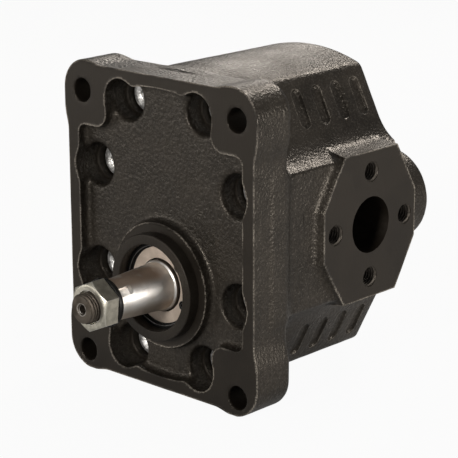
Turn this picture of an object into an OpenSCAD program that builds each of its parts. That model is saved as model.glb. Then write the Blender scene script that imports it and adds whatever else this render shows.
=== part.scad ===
// External gear pump with a cast mounting flange, a blind cast body and a tapered drive shaft.
// Origin: drive shaft axis where it meets the front plane of the flange.
// The shaft leaves towards -Y, the body lies towards +Y, +Z is up and the inlet port looks to +X.

/* [Gears] */
// Number of teeth on each gear
teeth = 12; // [11:1:14]
// Gear module
gear_module = 4; // [3.8:0.05:4.1]
// Pressure angle of the teeth in degrees
pressure_angle = 27; // [26:0.5:28]
// Thinning of each tooth, measured at the pitch circle
tooth_play = 0.24; // [0.16:0.02:0.4]
// Face width of the gears
gear_w = 25; // [20:1:28]
// Radial clearance of a gear tip in the body bore
tip_clear = 0.08; // [0.04:0.01:0.1]

/* [Mounting flange] */
// Width of the flange between its lobes
flange_w = 118.4; // [116:0.2:120]
// Height of the flange between its lobes
flange_h = 148.8; // [146:0.2:152]
// How far the corner lobes stand out sideways
lobe_out_x = 1.9; // [0.5:0.1:3]
// How far the corner lobes stand out upwards and downwards
lobe_out_z = 1.5; // [0.5:0.1:3]
// Corner radius of the flange lobes
lobe_r = 15; // [13:0.5:17]
// Straight length of a corner lobe down the upright side, below its rounding
lobe_len_z = 15; // [12:1:18]
// Straight length of a corner lobe along the top or bottom, beside its rounding
lobe_len_x = 7; // [5:1:10]
// Length over which a lobe runs out into the side
lobe_ramp = 7; // [5:1:9]
// Thickness of the flange plate
flange_t = 23.5; // [22:0.5:26]
// Distance of the mounting holes from the sides of the flange
hole_inset_x = 10; // [9.5:0.1:10.5]
// Distance of the mounting holes from the top and bottom of the flange
hole_inset_z = 10.3; // [9.8:0.1:10.8]
// How far the mounting holes sit below the middle of the flange
hole_shift = 2.8; // [2:0.1:3.5]
// Mounting hole diameter
mount_hole_d = 11; // [9:0.5:11.5]

/* [Flange face] */
// Depth of the cast pocket in the flange face
pocket_depth = 5; // [3:0.5:6]
// Width of the pocket
pocket_w = 104.6; // [102:0.2:106]
// Height of the pocket
pocket_h = 138.6; // [134:0.2:139]
// Inner edge of the corner pads, measured sideways from the middle
pad_edge_x = 33.5; // [32:0.5:36]
// Inner edge of the corner pads, measured up or down from the middle
pad_edge_z = 45; // [43:0.5:47]
// Rounding of the inner corner of each pad
pad_round = 7; // [4:0.5:8]
// Pilot diameter
pilot_d = 50.8; // [50:0.1:52]
// How far the pilot stands in front of the flange face
pilot_h = 5.8; // [4:0.1:7]
// Chamfer on the pilot
pilot_chamfer = 0.4; // [0.2:0.1:1]
// Chamfer at the mouth of the seal bore
bore_chamfer = 0.5; // [0.3:0.1:1]
// Diameter of the step ring at the root of the pilot
step_ring_d = 59.6; // [58:0.2:62]
// Depth of the step ring face behind the flange face
step_ring_y = 0.2; // [0.1:0.1:2]
// Chamfer on the step ring
step_chamfer = 0.6; // [0.4:0.1:1]
// Fillet where the step ring stands on the pocket floor
step_fillet = 2; // [1:0.2:2.4]

/* [Body] */
// Half height of the crown over the middle
crown_top = 75; // [73:0.5:76]
// Radius of the crown
crown_r = 88; // [80:1:100]
// Half width at the upper end of the chamfered flank
flank_x1 = 33.5; // [32:0.5:35]
// Half height at the upper end of the chamfered flank
flank_z1 = 65; // [63:0.5:66]
// Half width at the lower end of the chamfered flank
flank_x2 = 43.5; // [42:0.5:45]
// Half height at the lower end of the chamfered flank
flank_z2 = 45; // [43:0.5:46]
// Radius between the crown and the flank
shoulder_r = 6; // [4:0.5:8]
// Half width of the body over its side faces
side_x = 57.1; // [56:0.1:58]
// Half height of the side faces
side_z = 33; // [31:0.5:34]
// Slope of the ledge over the side face, rise per unit of width
ledge_slope = 0.44; // [0.3:0.02:0.5]
// Fillet radius between flank and ledge
ledge_fillet = 28; // [24:1:29]
// Depth of the joint between cover and body, behind the flange face
joint_y = 36; // [34:0.5:38]
// Thickness of the rear wall of the body
rear_wall = 12.5; // [11:0.5:16]
// Radius of the rear corners of the side bulges, seen from above
rear_round = 9; // [6:0.5:10]
// Length of the relief slots in the flanks
slot_len = 18.5; // [14:0.5:19]
// Width of the relief slots
slot_w = 6; // [4:0.5:8]
// Depth of the relief slots
slot_depth = 1.8; // [1:0.2:3]
// Distance between the relief slots
slot_pitch = 13.9; // [12:0.1:14.2]
// Number of relief slots on each flank
slot_count = 4; // [2:1:4]
// Distance of the first slot behind the flange face
slot_first = 55.5; // [53:0.5:58]
// Diameter of the blank rear bosses
rear_boss_d = 46.2; // [44:0.2:48]
// Distance of each rear boss from the middle
rear_boss_x = 30.4; // [29:0.2:31]
// Height of the rear bosses over the rear face
rear_boss_h = 25.5; // [20:0.5:28]
// Chamfer on the rear bosses
rear_boss_chamfer = 1.5; // [0.5:0.1:3]

/* [Ports] */
// Distance of the port pads from the middle
port_face_x = 60.5; // [60:0.1:61]
// Distance of the ports behind the flange face
port_y = 80; // [78:0.5:81]
// Half width of the octagonal port pad
port_pad_half_w = 33.4; // [32:0.2:34]
// Half height of the octagonal port pad
port_pad_half_h = 35.5; // [34.5:0.5:37]
// Half length of the top and bottom edges of the pad
port_pad_top = 19.2; // [17:0.2:21]
// Half length of the upright edges of the pad
port_pad_side = 11.9; // [10:0.1:14]
// Depth of the port boss behind its face
port_boss_depth = 22; // [20:1:24]
// Draft of the boss's top and bottom faces, rise per unit of depth
port_draft = 0.15; // [0.05:0.01:0.16]
// Inlet bore diameter
inlet_d = 27; // [24:0.5:28]
// Inlet bolt circle
inlet_pcd = 51; // [50:0.5:52]
// Inlet tapped hole diameter
inlet_bolt_d = 10; // [8:0.5:10]
// Outlet bore diameter
outlet_d = 20; // [18:0.5:22]
// Outlet bolt circle
outlet_pcd = 40; // [39:0.5:42]
// Outlet tapped hole diameter
outlet_bolt_d = 8; // [6:0.5:8]
// Depth of the tapped holes
tap_depth = 18; // [14:1:18]
// Depth of the port bores
port_bore_depth = 26; // [24:1:28]
// Height of the gallery between port and gears
gallery_h = 22; // [18:1:24]

/* [Cover screws] */
// Screw diameter
screw_d = 10; // [8:0.5:10]
// Screw head diameter
screw_head_d = 16; // [14:0.5:16]
// Screw head height
screw_head_h = 10; // [8:0.5:10]
// Socket width across flats
screw_socket = 8; // [6:0.5:8]
// Socket depth
screw_socket_depth = 5; // [4:0.5:6]
// Length of the screw under its head
screw_len = 32; // [25:1:36]
// Depth of the screw head's top behind the flange face
screw_top_y = 17; // [15:0.5:17]
// Mouth diameter of the screw holes
mouth_d = 20; // [18:0.5:21]
// Depth of the wide mouth
mouth_y = 13.5; // [11:0.5:14]
// Diameter of the counterbore below the mouth
counterbore_d = 17.4; // [17:0.1:18]
// Chamfer where the mouth meets the counterbore
mouth_chamfer = 0.7; // [0.3:0.1:1]
// Sideways place of the screws beside the gears
side_screw_x = 45; // [44:0.2:46]
// Height of those screws from the middle
side_screw_z = 25.5; // [24:0.5:27]
// Sideways place of the screws above and below the gears
end_screw_x = 24; // [23:0.2:25]
// Height of those screws from the middle
end_screw_z = 60; // [59:0.2:61]
// Clearance round a screw shank
screw_clear = 0.15; // [0.05:0.05:0.3]

/* [Dowels and body seal] */
// Dowel diameter
dowel_d = 8; // [6:0.5:9]
// Dowel length
dowel_len = 18; // [14:1:22]
// Wall between a dowel and the body seal's groove
dowel_land = 1.6; // [1:0.1:2.5]
// Radius of the body seal round each gear axis
seal_path_r = 32; // [31.5:0.1:32.5]
// Width of the body seal
body_seal_w = 2.6; // [2:0.1:3]
// Thickness of the body seal in its groove
body_seal_t = 1.8; // [1.4:0.1:2.2]
// Gap between a seal and the bottom or side of its groove
seal_gap = 0.1; // [0.05:0.05:0.2]

/* [Bearings] */
// Length of each bearing block along the shafts
block_len = 17; // [15:0.5:18]
// Clearance of the bearing blocks in the body bore
block_clear = 0.05; // [0.03:0.01:0.1]
// Clearance between a gear face and a bearing block
face_clear = 0.06; // [0.04:0.01:0.1]
// Journal diameter
journal_d = 25; // [23:0.5:26]
// Running clearance of a journal in its bush, on the radius
journal_clear = 0.04; // [0.02:0.01:0.08]
// Wall thickness of a bush
bush_wall = 2; // [1.5:0.1:2.5]
// Clearance of a bush in its block, on the radius
bush_fit = 0.03; // [0.01:0.01:0.05]
// Width of the balance seal
balance_seal_w = 2.2; // [1.8:0.1:2.4]
// Width of the back-up ring
backup_w = 1.1; // [0.9:0.1:1.3]
// Depth of the balance seal groove
balance_groove = 2.6; // [2:0.1:3]
// Inner radius of the balance seal groove round each bush
balance_r = 21.6; // [21.4:0.1:21.9]
// Opening of the balance seal on the outlet side, as a half angle
balance_open = 24; // [15:1:30]

/* [Shaft seal] */
// Diameter of the seal bore
seal_bore_d = 41; // [40.5:0.5:42]
// Depth of the seal bore behind the flange face
seal_bore_y = 10.5; // [9.5:0.5:13]
// Diameter of the shaft passage behind the seal
passage_d = 27; // [26.6:0.2:30]
// Thickness of the circlip
circlip_t = 1.75; // [1.5:0.05:2]
// Inner diameter of the circlip
circlip_id = 37.8; // [37.2:0.2:38.6]
// Depth of the circlip groove on the radius
circlip_depth = 1.1; // [0.8:0.1:1.4]
// Front of the circlip, measured behind the flange face
circlip_y = -0.8; // [-2:0.1:-0.5]
// Angle between the circlip's ears
ear_half_angle = 31.5; // [28:0.5:35]
// Angle of the gap between the ears, from the inlet side upwards
ear_mid_angle = 9.5; // [0:0.5:20]
// Radius of the circle on which the ear holes lie
ear_r = 17; // [16.4:0.1:17.6]
// Hole in each ear
ear_hole_d = 2; // [1.6:0.1:2.4]
// Length of the seal case
case_len = 8; // [7:0.5:9]
// Wall thickness of the seal case
case_wall = 1.6; // [1.2:0.1:2]
// Outer diameter of the dust ring
dust_od = 36.4; // [35:0.2:36.8]
// Thickness of the dust ring
dust_t = 2; // [1.5:0.1:2.5]
// Diameter of the garter spring's wire coil
garter_d = 1.8; // [1.4:0.1:2.2]

/* [Drive shaft] */
// Diameter where the shaft runs in the seal
seal_journal_d = 24.2; // [23.6:0.1:24.6]
// Where the seal journal starts, in front of the flange face
shoulder_y = -0.9; // [-1.5:0.1:-0.5]
// Large diameter of the taper
taper_d = 22.6; // [22:0.1:23]
// Length of the taper
taper_len = 31.4; // [28:0.2:34]
// Taper ratio, length for one unit of diameter
taper_ratio = 8; // [7.5:0.5:10]
// Thread diameter
thread_d = 14; // [12:0.5:14]
// Length of the threaded end
thread_len = 15.9; // [14:0.1:17]
// Centre hole diameter in the shaft end
centre_hole_d = 4.2; // [3:0.2:5]
// Depth of the centre hole
centre_hole_depth = 6; // [4:0.5:8]
// Keyway width
keyway_w = 4; // [3:0.5:5]
// Length of the keyway from the small end of the taper
keyway_len = 8; // [6:0.5:14]
// Keyway depth
keyway_depth = 1.8; // [1:0.2:2.4]
// Angle of the keyway, from the inlet side upwards
keyway_angle = 36; // [0:1:90]
// Width of the nut across flats
nut_af = 21; // [19:0.5:22]
// Height of the nut
nut_h = 8.5; // [7:0.5:11]
// Angle of the nut's first corner, from the inlet side upwards
nut_angle = 24.5; // [0:0.5:60]
// Outer diameter of the spring washer
washer_d = 22.6; // [21:0.2:24]
// Thickness of the spring washer
washer_t = 2.6; // [2:0.1:3]
// Fit of the nut and washer on the thread, on the radius
thread_fit = 0.05; // [0.02:0.01:0.15]
// Free space between a shaft end and the wall behind it
end_space = 1; // [0.5:0.1:2]

/* [Hidden] */
$fn = 64;

// How far a cut runs past the face that it opens
past = 1;

// Gear geometry
pitch_r = teeth * gear_module / 2;
centre_distance = 2 * pitch_r;
tip_r = pitch_r + gear_module;
root_r = pitch_r - 1.25 * gear_module;
base_r = pitch_r * cos(pressure_angle);
flank_steps = 6;
mid_z = centre_distance / 2;
drive_z = 0;
driven_z = centre_distance;

// Places along the shafts
bore_r = tip_r + tip_clear;
block_r = bore_r - block_clear;
chamber_len = 2 * block_len + gear_w + 2 * face_clear;
chamber_end = joint_y + chamber_len;
rear_y = chamber_end + rear_wall;
gear_y0 = joint_y + block_len + face_clear;
gear_y1 = gear_y0 + gear_w;
rear_block_y = chamber_end - block_len;

// Dowels
dowel_z = mid_z + seal_path_r + body_seal_w / 2 + seal_gap + dowel_land + dowel_d / 2;

// Flange lobes
lobe_half_x = flange_w / 2 + lobe_out_x;
lobe_half_z = flange_h / 2 + lobe_out_z;

// Mounting holes
hole_span_x = flange_w - 2 * hole_inset_x;
hole_span_z = flange_h - 2 * hole_inset_z;
hole_mid_z = mid_z - hole_shift;

// Bearings
journal_r = journal_d / 2;
bush_ir = journal_r + journal_clear;
bush_or = bush_ir + bush_wall;
bush_bore_r = bush_or + bush_fit;
balance_out_r = balance_r + backup_w + balance_seal_w + 2 * seal_gap;

// Screws
screw_seat_y = screw_top_y + screw_head_h;
screw_end_y = screw_seat_y + screw_len;
screw_tip_space = 3;
screw_places = [
    [side_screw_x, side_screw_z], [side_screw_x, -side_screw_z],
    [-side_screw_x, side_screw_z], [-side_screw_x, -side_screw_z],
    [end_screw_x, end_screw_z], [end_screw_x, -end_screw_z],
    [-end_screw_x, end_screw_z], [-end_screw_x, -end_screw_z]
];

// Shaft seal
seal_journal_r = seal_journal_d / 2;
circlip_back_y = circlip_y + circlip_t;
case_y = circlip_back_y + seal_gap;
dust_y = case_y;
lip_clear = 0.05;
garter_y = case_y + case_len - 2.4;
garter_ring_r = seal_journal_r + lip_clear + 1.9 + garter_d / 2;

// Drive shaft
taper_y = shoulder_y - 0.7;
taper_end_y = taper_y - taper_len;
taper_end_r = taper_d / 2 - taper_len / taper_ratio / 2;
thread_end_y = taper_end_y - thread_len;
thread_r = thread_d / 2;
seal_journal_end = seal_bore_y + 4;
washer_y = taper_end_y - 0.1;
nut_y = washer_y - washer_t - 0.05;

// Flank of the body and the ledge beside it
flank_run = (flank_x2 - flank_x1) / (flank_z1 - flank_z2);
ledge_x = (flank_x1 + flank_run * (flank_z1 - side_z - ledge_slope * side_x)) / (1 - flank_run * ledge_slope);
ledge_z = side_z + ledge_slope * (side_x - ledge_x);
flank_angle = atan(1 / flank_run);
ledge_angle = atan(ledge_slope);

// How far a rounding overlaps the faces that it runs into
blend_over = 0.01;

// Helpers

// A round rod along Y
module rod_y(x, z, y0, y1, r) {
    translate([x, y1, z]) rotate([90, 0, 0]) cylinder(h = y1 - y0, r = r);
}

// A round rod along X
module rod_x(y, z, x0, x1, r) {
    translate([x0, y, z]) rotate([0, 90, 0]) cylinder(h = x1 - x0, r = r);
}

// A flat outline, drawn in X and Z, made solid from y0 to y1
module prism_y(y0, y1) {
    translate([0, y1, 0]) rotate([90, 0, 0]) linear_extrude(height = y1 - y0) children();
}

// A profile of radius and Y, turned round the Y axis
module turned_y(z = 0) {
    translate([0, 0, z]) rotate([-90, 0, 0]) rotate_extrude($fn = 96) children();
}

// Copies on the four quarters round the middle of the body
module quarters() {
    for (sx = [0, 1]) mirror([sx, 0]) for (sz = [0, 1]) mirror([0, sz]) children();
}

// Two equal circles on the gear axes
module figure_eight(r) {
    for (z = [drive_z, driven_z]) translate([0, z]) circle(r = r);
}

// A round-ended outline round both gear axes
module racetrack(r) {
    figure_eight(r);
    translate([-r, drive_z]) square([2 * r, centre_distance]);
}

// Outlines

// One corner lobe, drawn in the positive quarter
module lobe_outline() {
    lx = lobe_half_x;
    lz = lobe_half_z;
    straight_z = lz - lobe_r - lobe_len_z;
    straight_x = lx - lobe_r - lobe_len_x;
    translate([lx - lobe_r, lz - lobe_r]) circle(r = lobe_r);
    polygon([
        [0, 0], [flange_w / 2, 0], [flange_w / 2, straight_z - lobe_ramp], [lx, straight_z],
        [lx, lz - lobe_r], [lx - lobe_r, lz - lobe_r], [lx - lobe_r, lz], [straight_x, lz],
        [straight_x - lobe_ramp, flange_h / 2], [0, flange_h / 2]
    ]);
}

module flange_outline() {
    translate([0, mid_z]) quarters() lobe_outline();
}

// The cast pocket, less the four corner pads
module pocket_outline() {
    hw = pocket_w / 2;
    hh = pocket_h / 2;
    translate([0, mid_z]) {
        quarters() {
            polygon([
                [0, 0], [hw, 0], [hw, pad_edge_z - pad_round], [hw - pad_round, pad_edge_z],
                [pad_edge_x, pad_edge_z], [pad_edge_x, hh - pad_round], [pad_edge_x - pad_round, hh], [0, hh]
            ]);
            translate([hw - pad_round, pad_edge_z - pad_round]) circle(r = pad_round);
            translate([pad_edge_x - pad_round, hh - pad_round]) circle(r = pad_round);
            difference() {
                translate([pad_edge_x, pad_edge_z]) square(pad_round);
                translate([pad_edge_x + pad_round, pad_edge_z + pad_round]) circle(r = pad_round);
            }
        }
    }
}

// Quarter of the body outline: crown, shoulder, flank, concave fillet and ledge
module body_quarter() {
    crown_c = crown_top - crown_r;
    ux = sin(flank_angle);
    uz = cos(flank_angle);
    flank_d = flank_x1 * ux + flank_z1 * uz;
    in_d = flank_d - shoulder_r - crown_c * uz;
    reach = crown_r - shoulder_r;
    along = sqrt(reach * reach - in_d * in_d);
    sx = in_d * ux - along * uz;
    sz = crown_c + in_d * uz + along * ux;
    tan_x = sx * crown_r / reach;
    tan_z = crown_c + (sz - crown_c) * crown_r / reach;
    intersection() {
        translate([0, crown_c]) circle(r = crown_r, $fn = 180);
        polygon([[0, 0], [ledge_x, 0], [ledge_x, ledge_z], [sx + shoulder_r * ux, sz + shoulder_r * uz],
            [sx, sz], [tan_x, tan_z], [tan_x, crown_top + past], [0, crown_top + past]]);
    }
    translate([sx, sz]) circle(r = shoulder_r + blend_over);
    difference() {
        half = (180 - flank_angle + ledge_angle) / 2;
        cut = ledge_fillet / tan(half);
        bis = (180 - flank_angle - ledge_angle) / 2;
        span = ledge_fillet / sin(half);
        polygon([[0, 0], [side_x, 0], [side_x, side_z],
            [ledge_x + cut * cos(ledge_angle), ledge_z - cut * sin(ledge_angle)],
            [ledge_x - cut * cos(flank_angle), ledge_z + cut * sin(flank_angle)], [flank_x1, flank_z1 - past],
            [0, flank_z1 - past]]);
        translate([ledge_x + span * cos(bis), ledge_z + span * sin(bis)])
            circle(r = ledge_fillet + blend_over, $fn = 120);
    }
}

module body_outline() {
    translate([0, mid_z]) quarters() body_quarter();
}

// Octagonal port pad, drawn in Y and Z, with its slanted edges run on by the given rise
module pad_outline(rise) {
    w = port_pad_half_w;
    h = port_pad_half_h + rise;
    s = port_pad_side;
    t = port_pad_top - rise * (w - port_pad_top) / (port_pad_half_h - s);
    polygon([[-t, -h], [t, -h], [w, -s], [w, s], [t, h], [-t, h], [-w, s], [-w, -s]]);
}

// The opening between port and gears, drawn in Y and Z
module gallery_outline() {
    r = gallery_h / 2;
    translate([gear_y0 + r, mid_z]) circle(r = r);
    translate([port_y, mid_z]) circle(r = r);
    translate([gear_y0 + r, mid_z - r]) square([port_y - gear_y0 - r, gallery_h]);
}

// A relief slot with round ends, lying along the positive flank
module flank_slot() {
    half = (slot_len - slot_w) / 2;
    fx = (flank_x1 + flank_x2) / 2 - 0.4;
    fz = (flank_z1 + flank_z2) / 2 + 0.8;
    translate([fx, 0, fz]) rotate([0, flank_angle, 0]) translate([0, 0, -slot_depth]) {
        for (e = [-half, half]) translate([e, 0, 0]) cylinder(h = slot_depth + past, d = slot_w);
        translate([-half, -slot_w / 2, 0]) cube([2 * half, slot_w, slot_depth + past]);
    }
}

// Balance seal path: two rings joined at the waist and open on the outlet side
module balance_path(r0, r1) {
    difference() {
        figure_eight(r1);
        figure_eight(r0);
        for (z = [drive_z, driven_z]) translate([0, z]) polygon([
            [0, 0], [-2 * r1 * cos(balance_open), 2 * r1 * sin(balance_open)],
            [-2 * r1 * cos(balance_open), -2 * r1 * sin(balance_open)]
        ]);
    }
}

// Involute gear

// Point on the involute at radius r, as an angle from its root in degrees
function involute_angle(r) = let (a = acos(min(1, base_r / r))) tan(a) * 180 / PI - a;

// Half the angle of a tooth at radius r
function half_tooth(r) = (PI * gear_module / 2 - tooth_play) / (2 * pitch_r) * 180 / PI
    + involute_angle(pitch_r) - involute_angle(max(r, base_r));

function polar(r, a) = [r * sin(a), r * cos(a)];

flank_r = [for (i = [0 : flank_steps]) max(root_r, base_r) + (tip_r - max(root_r, base_r)) * i / flank_steps];

// One gear outline with a tooth on its upward axis, turned by the given angle
module gear_outline(turn) {
    circle(r = root_r);
    for (k = [0 : teeth - 1]) rotate(turn + k * 360 / teeth) polygon(concat(
        [polar(root_r - past, half_tooth(base_r) * 0.9)],
        [for (r = flank_r) polar(r, half_tooth(r))],
        [for (i = [flank_steps : -1 : 0]) polar(flank_r[i], -half_tooth(flank_r[i]))],
        [polar(root_r - past, -half_tooth(base_r) * 0.9)]
    ));
}

// Root body

module screw_holes() {
    for (p = screw_places) {
        rod_y(p[0], mid_z + p[1], -past, mouth_y, mouth_d / 2);
        rod_y(p[0], mid_z + p[1], -past, screw_seat_y, counterbore_d / 2);
        translate([p[0], mouth_y - past, mid_z + p[1]]) rotate([-90, 0, 0])
            cylinder(h = past + mouth_chamfer, r1 = counterbore_d / 2 + mouth_chamfer + past, r2 = counterbore_d / 2);
        rod_y(p[0], mid_z + p[1], -past, joint_y + past, screw_d / 2 + screw_clear);
    }
}

module dowel_holes(y0, y1) {
    for (s = [-1, 1]) rod_y(0, mid_z + s * dowel_z, y0, y1, dowel_d / 2 + bush_fit);
}

module mounting_flange() {
    pr = pilot_d / 2;
    ring_r = step_ring_d / 2;
    color([0.21, 0.19, 0.18]) difference() {
        union() {
            difference() {
                prism_y(0, flange_t) flange_outline();
                prism_y(-past, pocket_depth) pocket_outline();
            }
            prism_y(flange_t - past, joint_y) body_outline();
            turned_y() polygon([
                [0, flange_t], [ring_r, flange_t], [ring_r, step_ring_y + step_chamfer],
                [ring_r - step_chamfer, step_ring_y], [pr, step_ring_y], [pr, pilot_chamfer - pilot_h],
                [pr - pilot_chamfer, -pilot_h], [0, -pilot_h]
            ]);
            turned_y() difference() {
                translate([ring_r - past, pocket_depth - step_fillet]) square(step_fillet + past);
                translate([ring_r + step_fillet, pocket_depth - step_fillet])
                    circle(r = step_fillet + blend_over);
            }
        }
        screw_holes();
        dowel_holes(joint_y - dowel_len / 2 - seal_gap, joint_y + past);
        for (sx = [-1, 1]) for (sz = [-1, 1])
            rod_y(sx * hole_span_x / 2, hole_mid_z + sz * hole_span_z / 2,
                -past, flange_t + past, mount_hole_d / 2);
        rod_y(0, 0, -pilot_h - past, seal_bore_y, seal_bore_d / 2);
        translate([0, -pilot_h - past, 0]) rotate([-90, 0, 0]) cylinder(h = past + bore_chamfer,
            r1 = seal_bore_d / 2 + past + bore_chamfer, r2 = seal_bore_d / 2);
        rod_y(0, 0, circlip_y, circlip_back_y + seal_gap / 2, seal_bore_d / 2 + circlip_depth);
        rod_y(0, 0, seal_bore_y - past, joint_y + past, passage_d / 2);
    }
}

module port_boss() {
    rise = port_draft * port_boss_depth;
    inner_x = port_face_x - port_boss_depth;
    h = port_pad_half_h;
    y_reach = port_pad_half_w + past;
    intersection() {
        translate([inner_x, port_y, mid_z]) rotate([90, 0, 90])
            linear_extrude(height = port_boss_depth) pad_outline(rise + past);
        translate([0, 0, mid_z]) prism_y(port_y - y_reach, port_y + y_reach)
            polygon([[inner_x - past, -h - rise], [inner_x, -h - rise], [port_face_x, -h],
                [port_face_x, h], [inner_x, h + rise], [inner_x - past, h + rise]]);
    }
}

// A blank rear boss with its chamfer
module rear_boss(x) {
    r = rear_boss_d / 2;
    straight_end = rear_y + rear_boss_h - rear_boss_chamfer;
    rod_y(x, mid_z, rear_y - past, straight_end, r);
    translate([x, straight_end, mid_z]) rotate([-90, 0, 0])
        cylinder(h = rear_boss_chamfer, r1 = r, r2 = r - rear_boss_chamfer);
}

module port_cuts(bore_d, pcd, bolt_d) {
    rod_x(port_y, mid_z, port_face_x - port_bore_depth, port_face_x + past, bore_d / 2);
    translate([pitch_r / 2, 0, 0]) rotate([90, 0, 90])
        linear_extrude(height = port_face_x - port_bore_depth + past - pitch_r / 2) gallery_outline();
    for (a = [0 : 90 : 270])
        rod_x(port_y + pcd / 2 * cos(a), mid_z + pcd / 2 * sin(a),
            port_face_x - tap_depth, port_face_x + past, bolt_d / 2);
}

// What the rear corners of the side bulges lose to their rounding
module rear_rounding() {
    translate([0, rear_y - rear_round, mid_z - crown_top]) linear_extrude(height = 2 * crown_top)
        for (s = [0, 1]) mirror([s, 0]) translate([side_x - rear_round, 0]) difference() {
            square(rear_round + past);
            circle(r = rear_round + blend_over);
        }
}

module pump_body() {
    color([0.22, 0.20, 0.185]) difference() {
        union() {
            difference() {
                prism_y(joint_y, rear_y) body_outline();
                rear_rounding();
            }
            port_boss();
            mirror([1, 0, 0]) port_boss();
            for (s = [-1, 1]) rear_boss(s * rear_boss_x);
        }
        prism_y(joint_y - past, chamber_end) figure_eight(bore_r);
        prism_y(joint_y - past, joint_y + body_seal_t + seal_gap) difference() {
            racetrack(seal_path_r + body_seal_w / 2 + seal_gap);
            racetrack(seal_path_r - body_seal_w / 2 - seal_gap);
        }
        port_cuts(inlet_d, inlet_pcd, inlet_bolt_d);
        mirror([1, 0, 0]) port_cuts(outlet_d, outlet_pcd, outlet_bolt_d);
        for (p = screw_places)
            rod_y(p[0], mid_z + p[1], joint_y - past, screw_end_y + screw_tip_space,
                screw_d / 2 + screw_clear);
        dowel_holes(joint_y - past, joint_y + dowel_len / 2 + seal_gap);
        translate([0, 0, mid_z]) for (sx = [0, 1]) mirror([sx, 0, 0]) for (sz = [0, 1]) mirror([0, 0, sz])
            for (i = [0 : slot_count - 1]) translate([0, slot_first + i * slot_pitch, 0]) flank_slot();
    }
}

module cover_screws() {
    color([0.78, 0.78, 0.76]) for (p = screw_places) difference() {
        union() {
            rod_y(p[0], mid_z + p[1], screw_top_y, screw_seat_y, screw_head_d / 2);
            rod_y(p[0], mid_z + p[1], screw_seat_y, screw_end_y, screw_d / 2);
        }
        translate([p[0], screw_top_y + screw_socket_depth, mid_z + p[1]]) rotate([90, 0, 0])
            cylinder(h = screw_socket_depth + past, r = screw_socket / sqrt(3), $fn = 6);
    }
}

module dowel_pins() {
    color([0.7, 0.7, 0.7]) for (s = [-1, 1])
        rod_y(0, mid_z + s * dowel_z, joint_y - dowel_len / 2, joint_y + dowel_len / 2, dowel_d / 2);
}

module body_seal() {
    y0 = joint_y + seal_gap / 2;
    color([0.08, 0.08, 0.08]) prism_y(y0, y0 + body_seal_t) difference() {
        racetrack(seal_path_r + body_seal_w / 2);
        racetrack(seal_path_r - body_seal_w / 2);
    }
}

// A bearing block from y0, with its balance groove on the side away from the gears
module bearing_block(y0, groove_y0) {
    color([0.72, 0.73, 0.74]) difference() {
        prism_y(y0, y0 + block_len) figure_eight(block_r);
        for (z = [drive_z, driven_z]) rod_y(0, z, y0 - past, y0 + block_len + past, bush_bore_r);
        prism_y(groove_y0, groove_y0 + balance_groove) balance_path(balance_r, balance_out_r);
    }
}

module front_bearing_block() {
    bearing_block(joint_y, joint_y);
}

module rear_bearing_block() {
    bearing_block(rear_block_y, chamber_end - balance_groove);
}

module bush(y0, z) {
    color([0.72, 0.55, 0.33]) difference() {
        rod_y(0, z, y0, y0 + block_len, bush_or);
        rod_y(0, z, y0 - past, y0 + block_len + past, bush_ir);
    }
}

module drive_front_bush() {
    bush(joint_y, drive_z);
}

module drive_rear_bush() {
    bush(rear_block_y, drive_z);
}

module driven_front_bush() {
    bush(joint_y, driven_z);
}

module driven_rear_bush() {
    bush(rear_block_y, driven_z);
}

module balance_seal(y0) {
    color([0.1, 0.1, 0.1]) prism_y(y0, y0 + balance_groove - seal_gap)
        balance_path(balance_out_r - seal_gap - balance_seal_w, balance_out_r - seal_gap);
}

module front_balance_seal() {
    balance_seal(joint_y + seal_gap / 2);
}

module rear_balance_seal() {
    balance_seal(chamber_end - balance_groove + seal_gap / 2);
}

module backup_ring(y0) {
    color([0.9, 0.9, 0.86]) prism_y(y0, y0 + balance_groove - seal_gap)
        balance_path(balance_r + seal_gap / 2, balance_r + seal_gap / 2 + backup_w);
}

module front_backup_ring() {
    backup_ring(joint_y + seal_gap / 2);
}

module rear_backup_ring() {
    backup_ring(chamber_end - balance_groove + seal_gap / 2);
}

// Shaft seal

module shaft_seal_case() {
    ro = seal_bore_d / 2 - bush_fit;
    ri = dust_od / 2 + seal_gap;
    color([0.06, 0.06, 0.065]) turned_y() polygon([
        [ri, case_y], [ro, case_y], [ro, case_y + case_len], [ro - case_wall, case_y + case_len],
        [ro - case_wall, dust_y + dust_t + seal_gap], [ri, dust_y + dust_t + seal_gap]
    ]);
}

module shaft_seal_lip() {
    y0 = dust_y + dust_t + 2 * seal_gap;
    y1 = case_y + case_len;
    ri = seal_journal_r + lip_clear;
    ro = seal_bore_d / 2 - bush_fit - case_wall - seal_gap;
    color([0.09, 0.09, 0.1]) turned_y() polygon([
        [ri + 1.4, y0], [ro, y0], [ro, y0 + 1.6], [ri + 3.2, y0 + 1.6], [ri + 1.8, garter_y - garter_d / 2],
        [ri + 1.8, y1 - 0.8], [ri + 1.2, y1], [ri + 0.3, y1], [ri, garter_y], [ri + 0.8, y0 + 1.2]
    ]);
}

module garter_spring() {
    color([0.75, 0.75, 0.75]) turned_y() translate([garter_ring_r, garter_y]) circle(d = garter_d, $fn = 24);
}

module dust_ring() {
    color([0.80, 0.71, 0.62]) difference() {
        rod_y(0, 0, dust_y, dust_y + dust_t, dust_od / 2);
        rod_y(0, 0, dust_y - past, dust_y + dust_t + past, seal_journal_r + 6 * lip_clear);
    }
}

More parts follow.
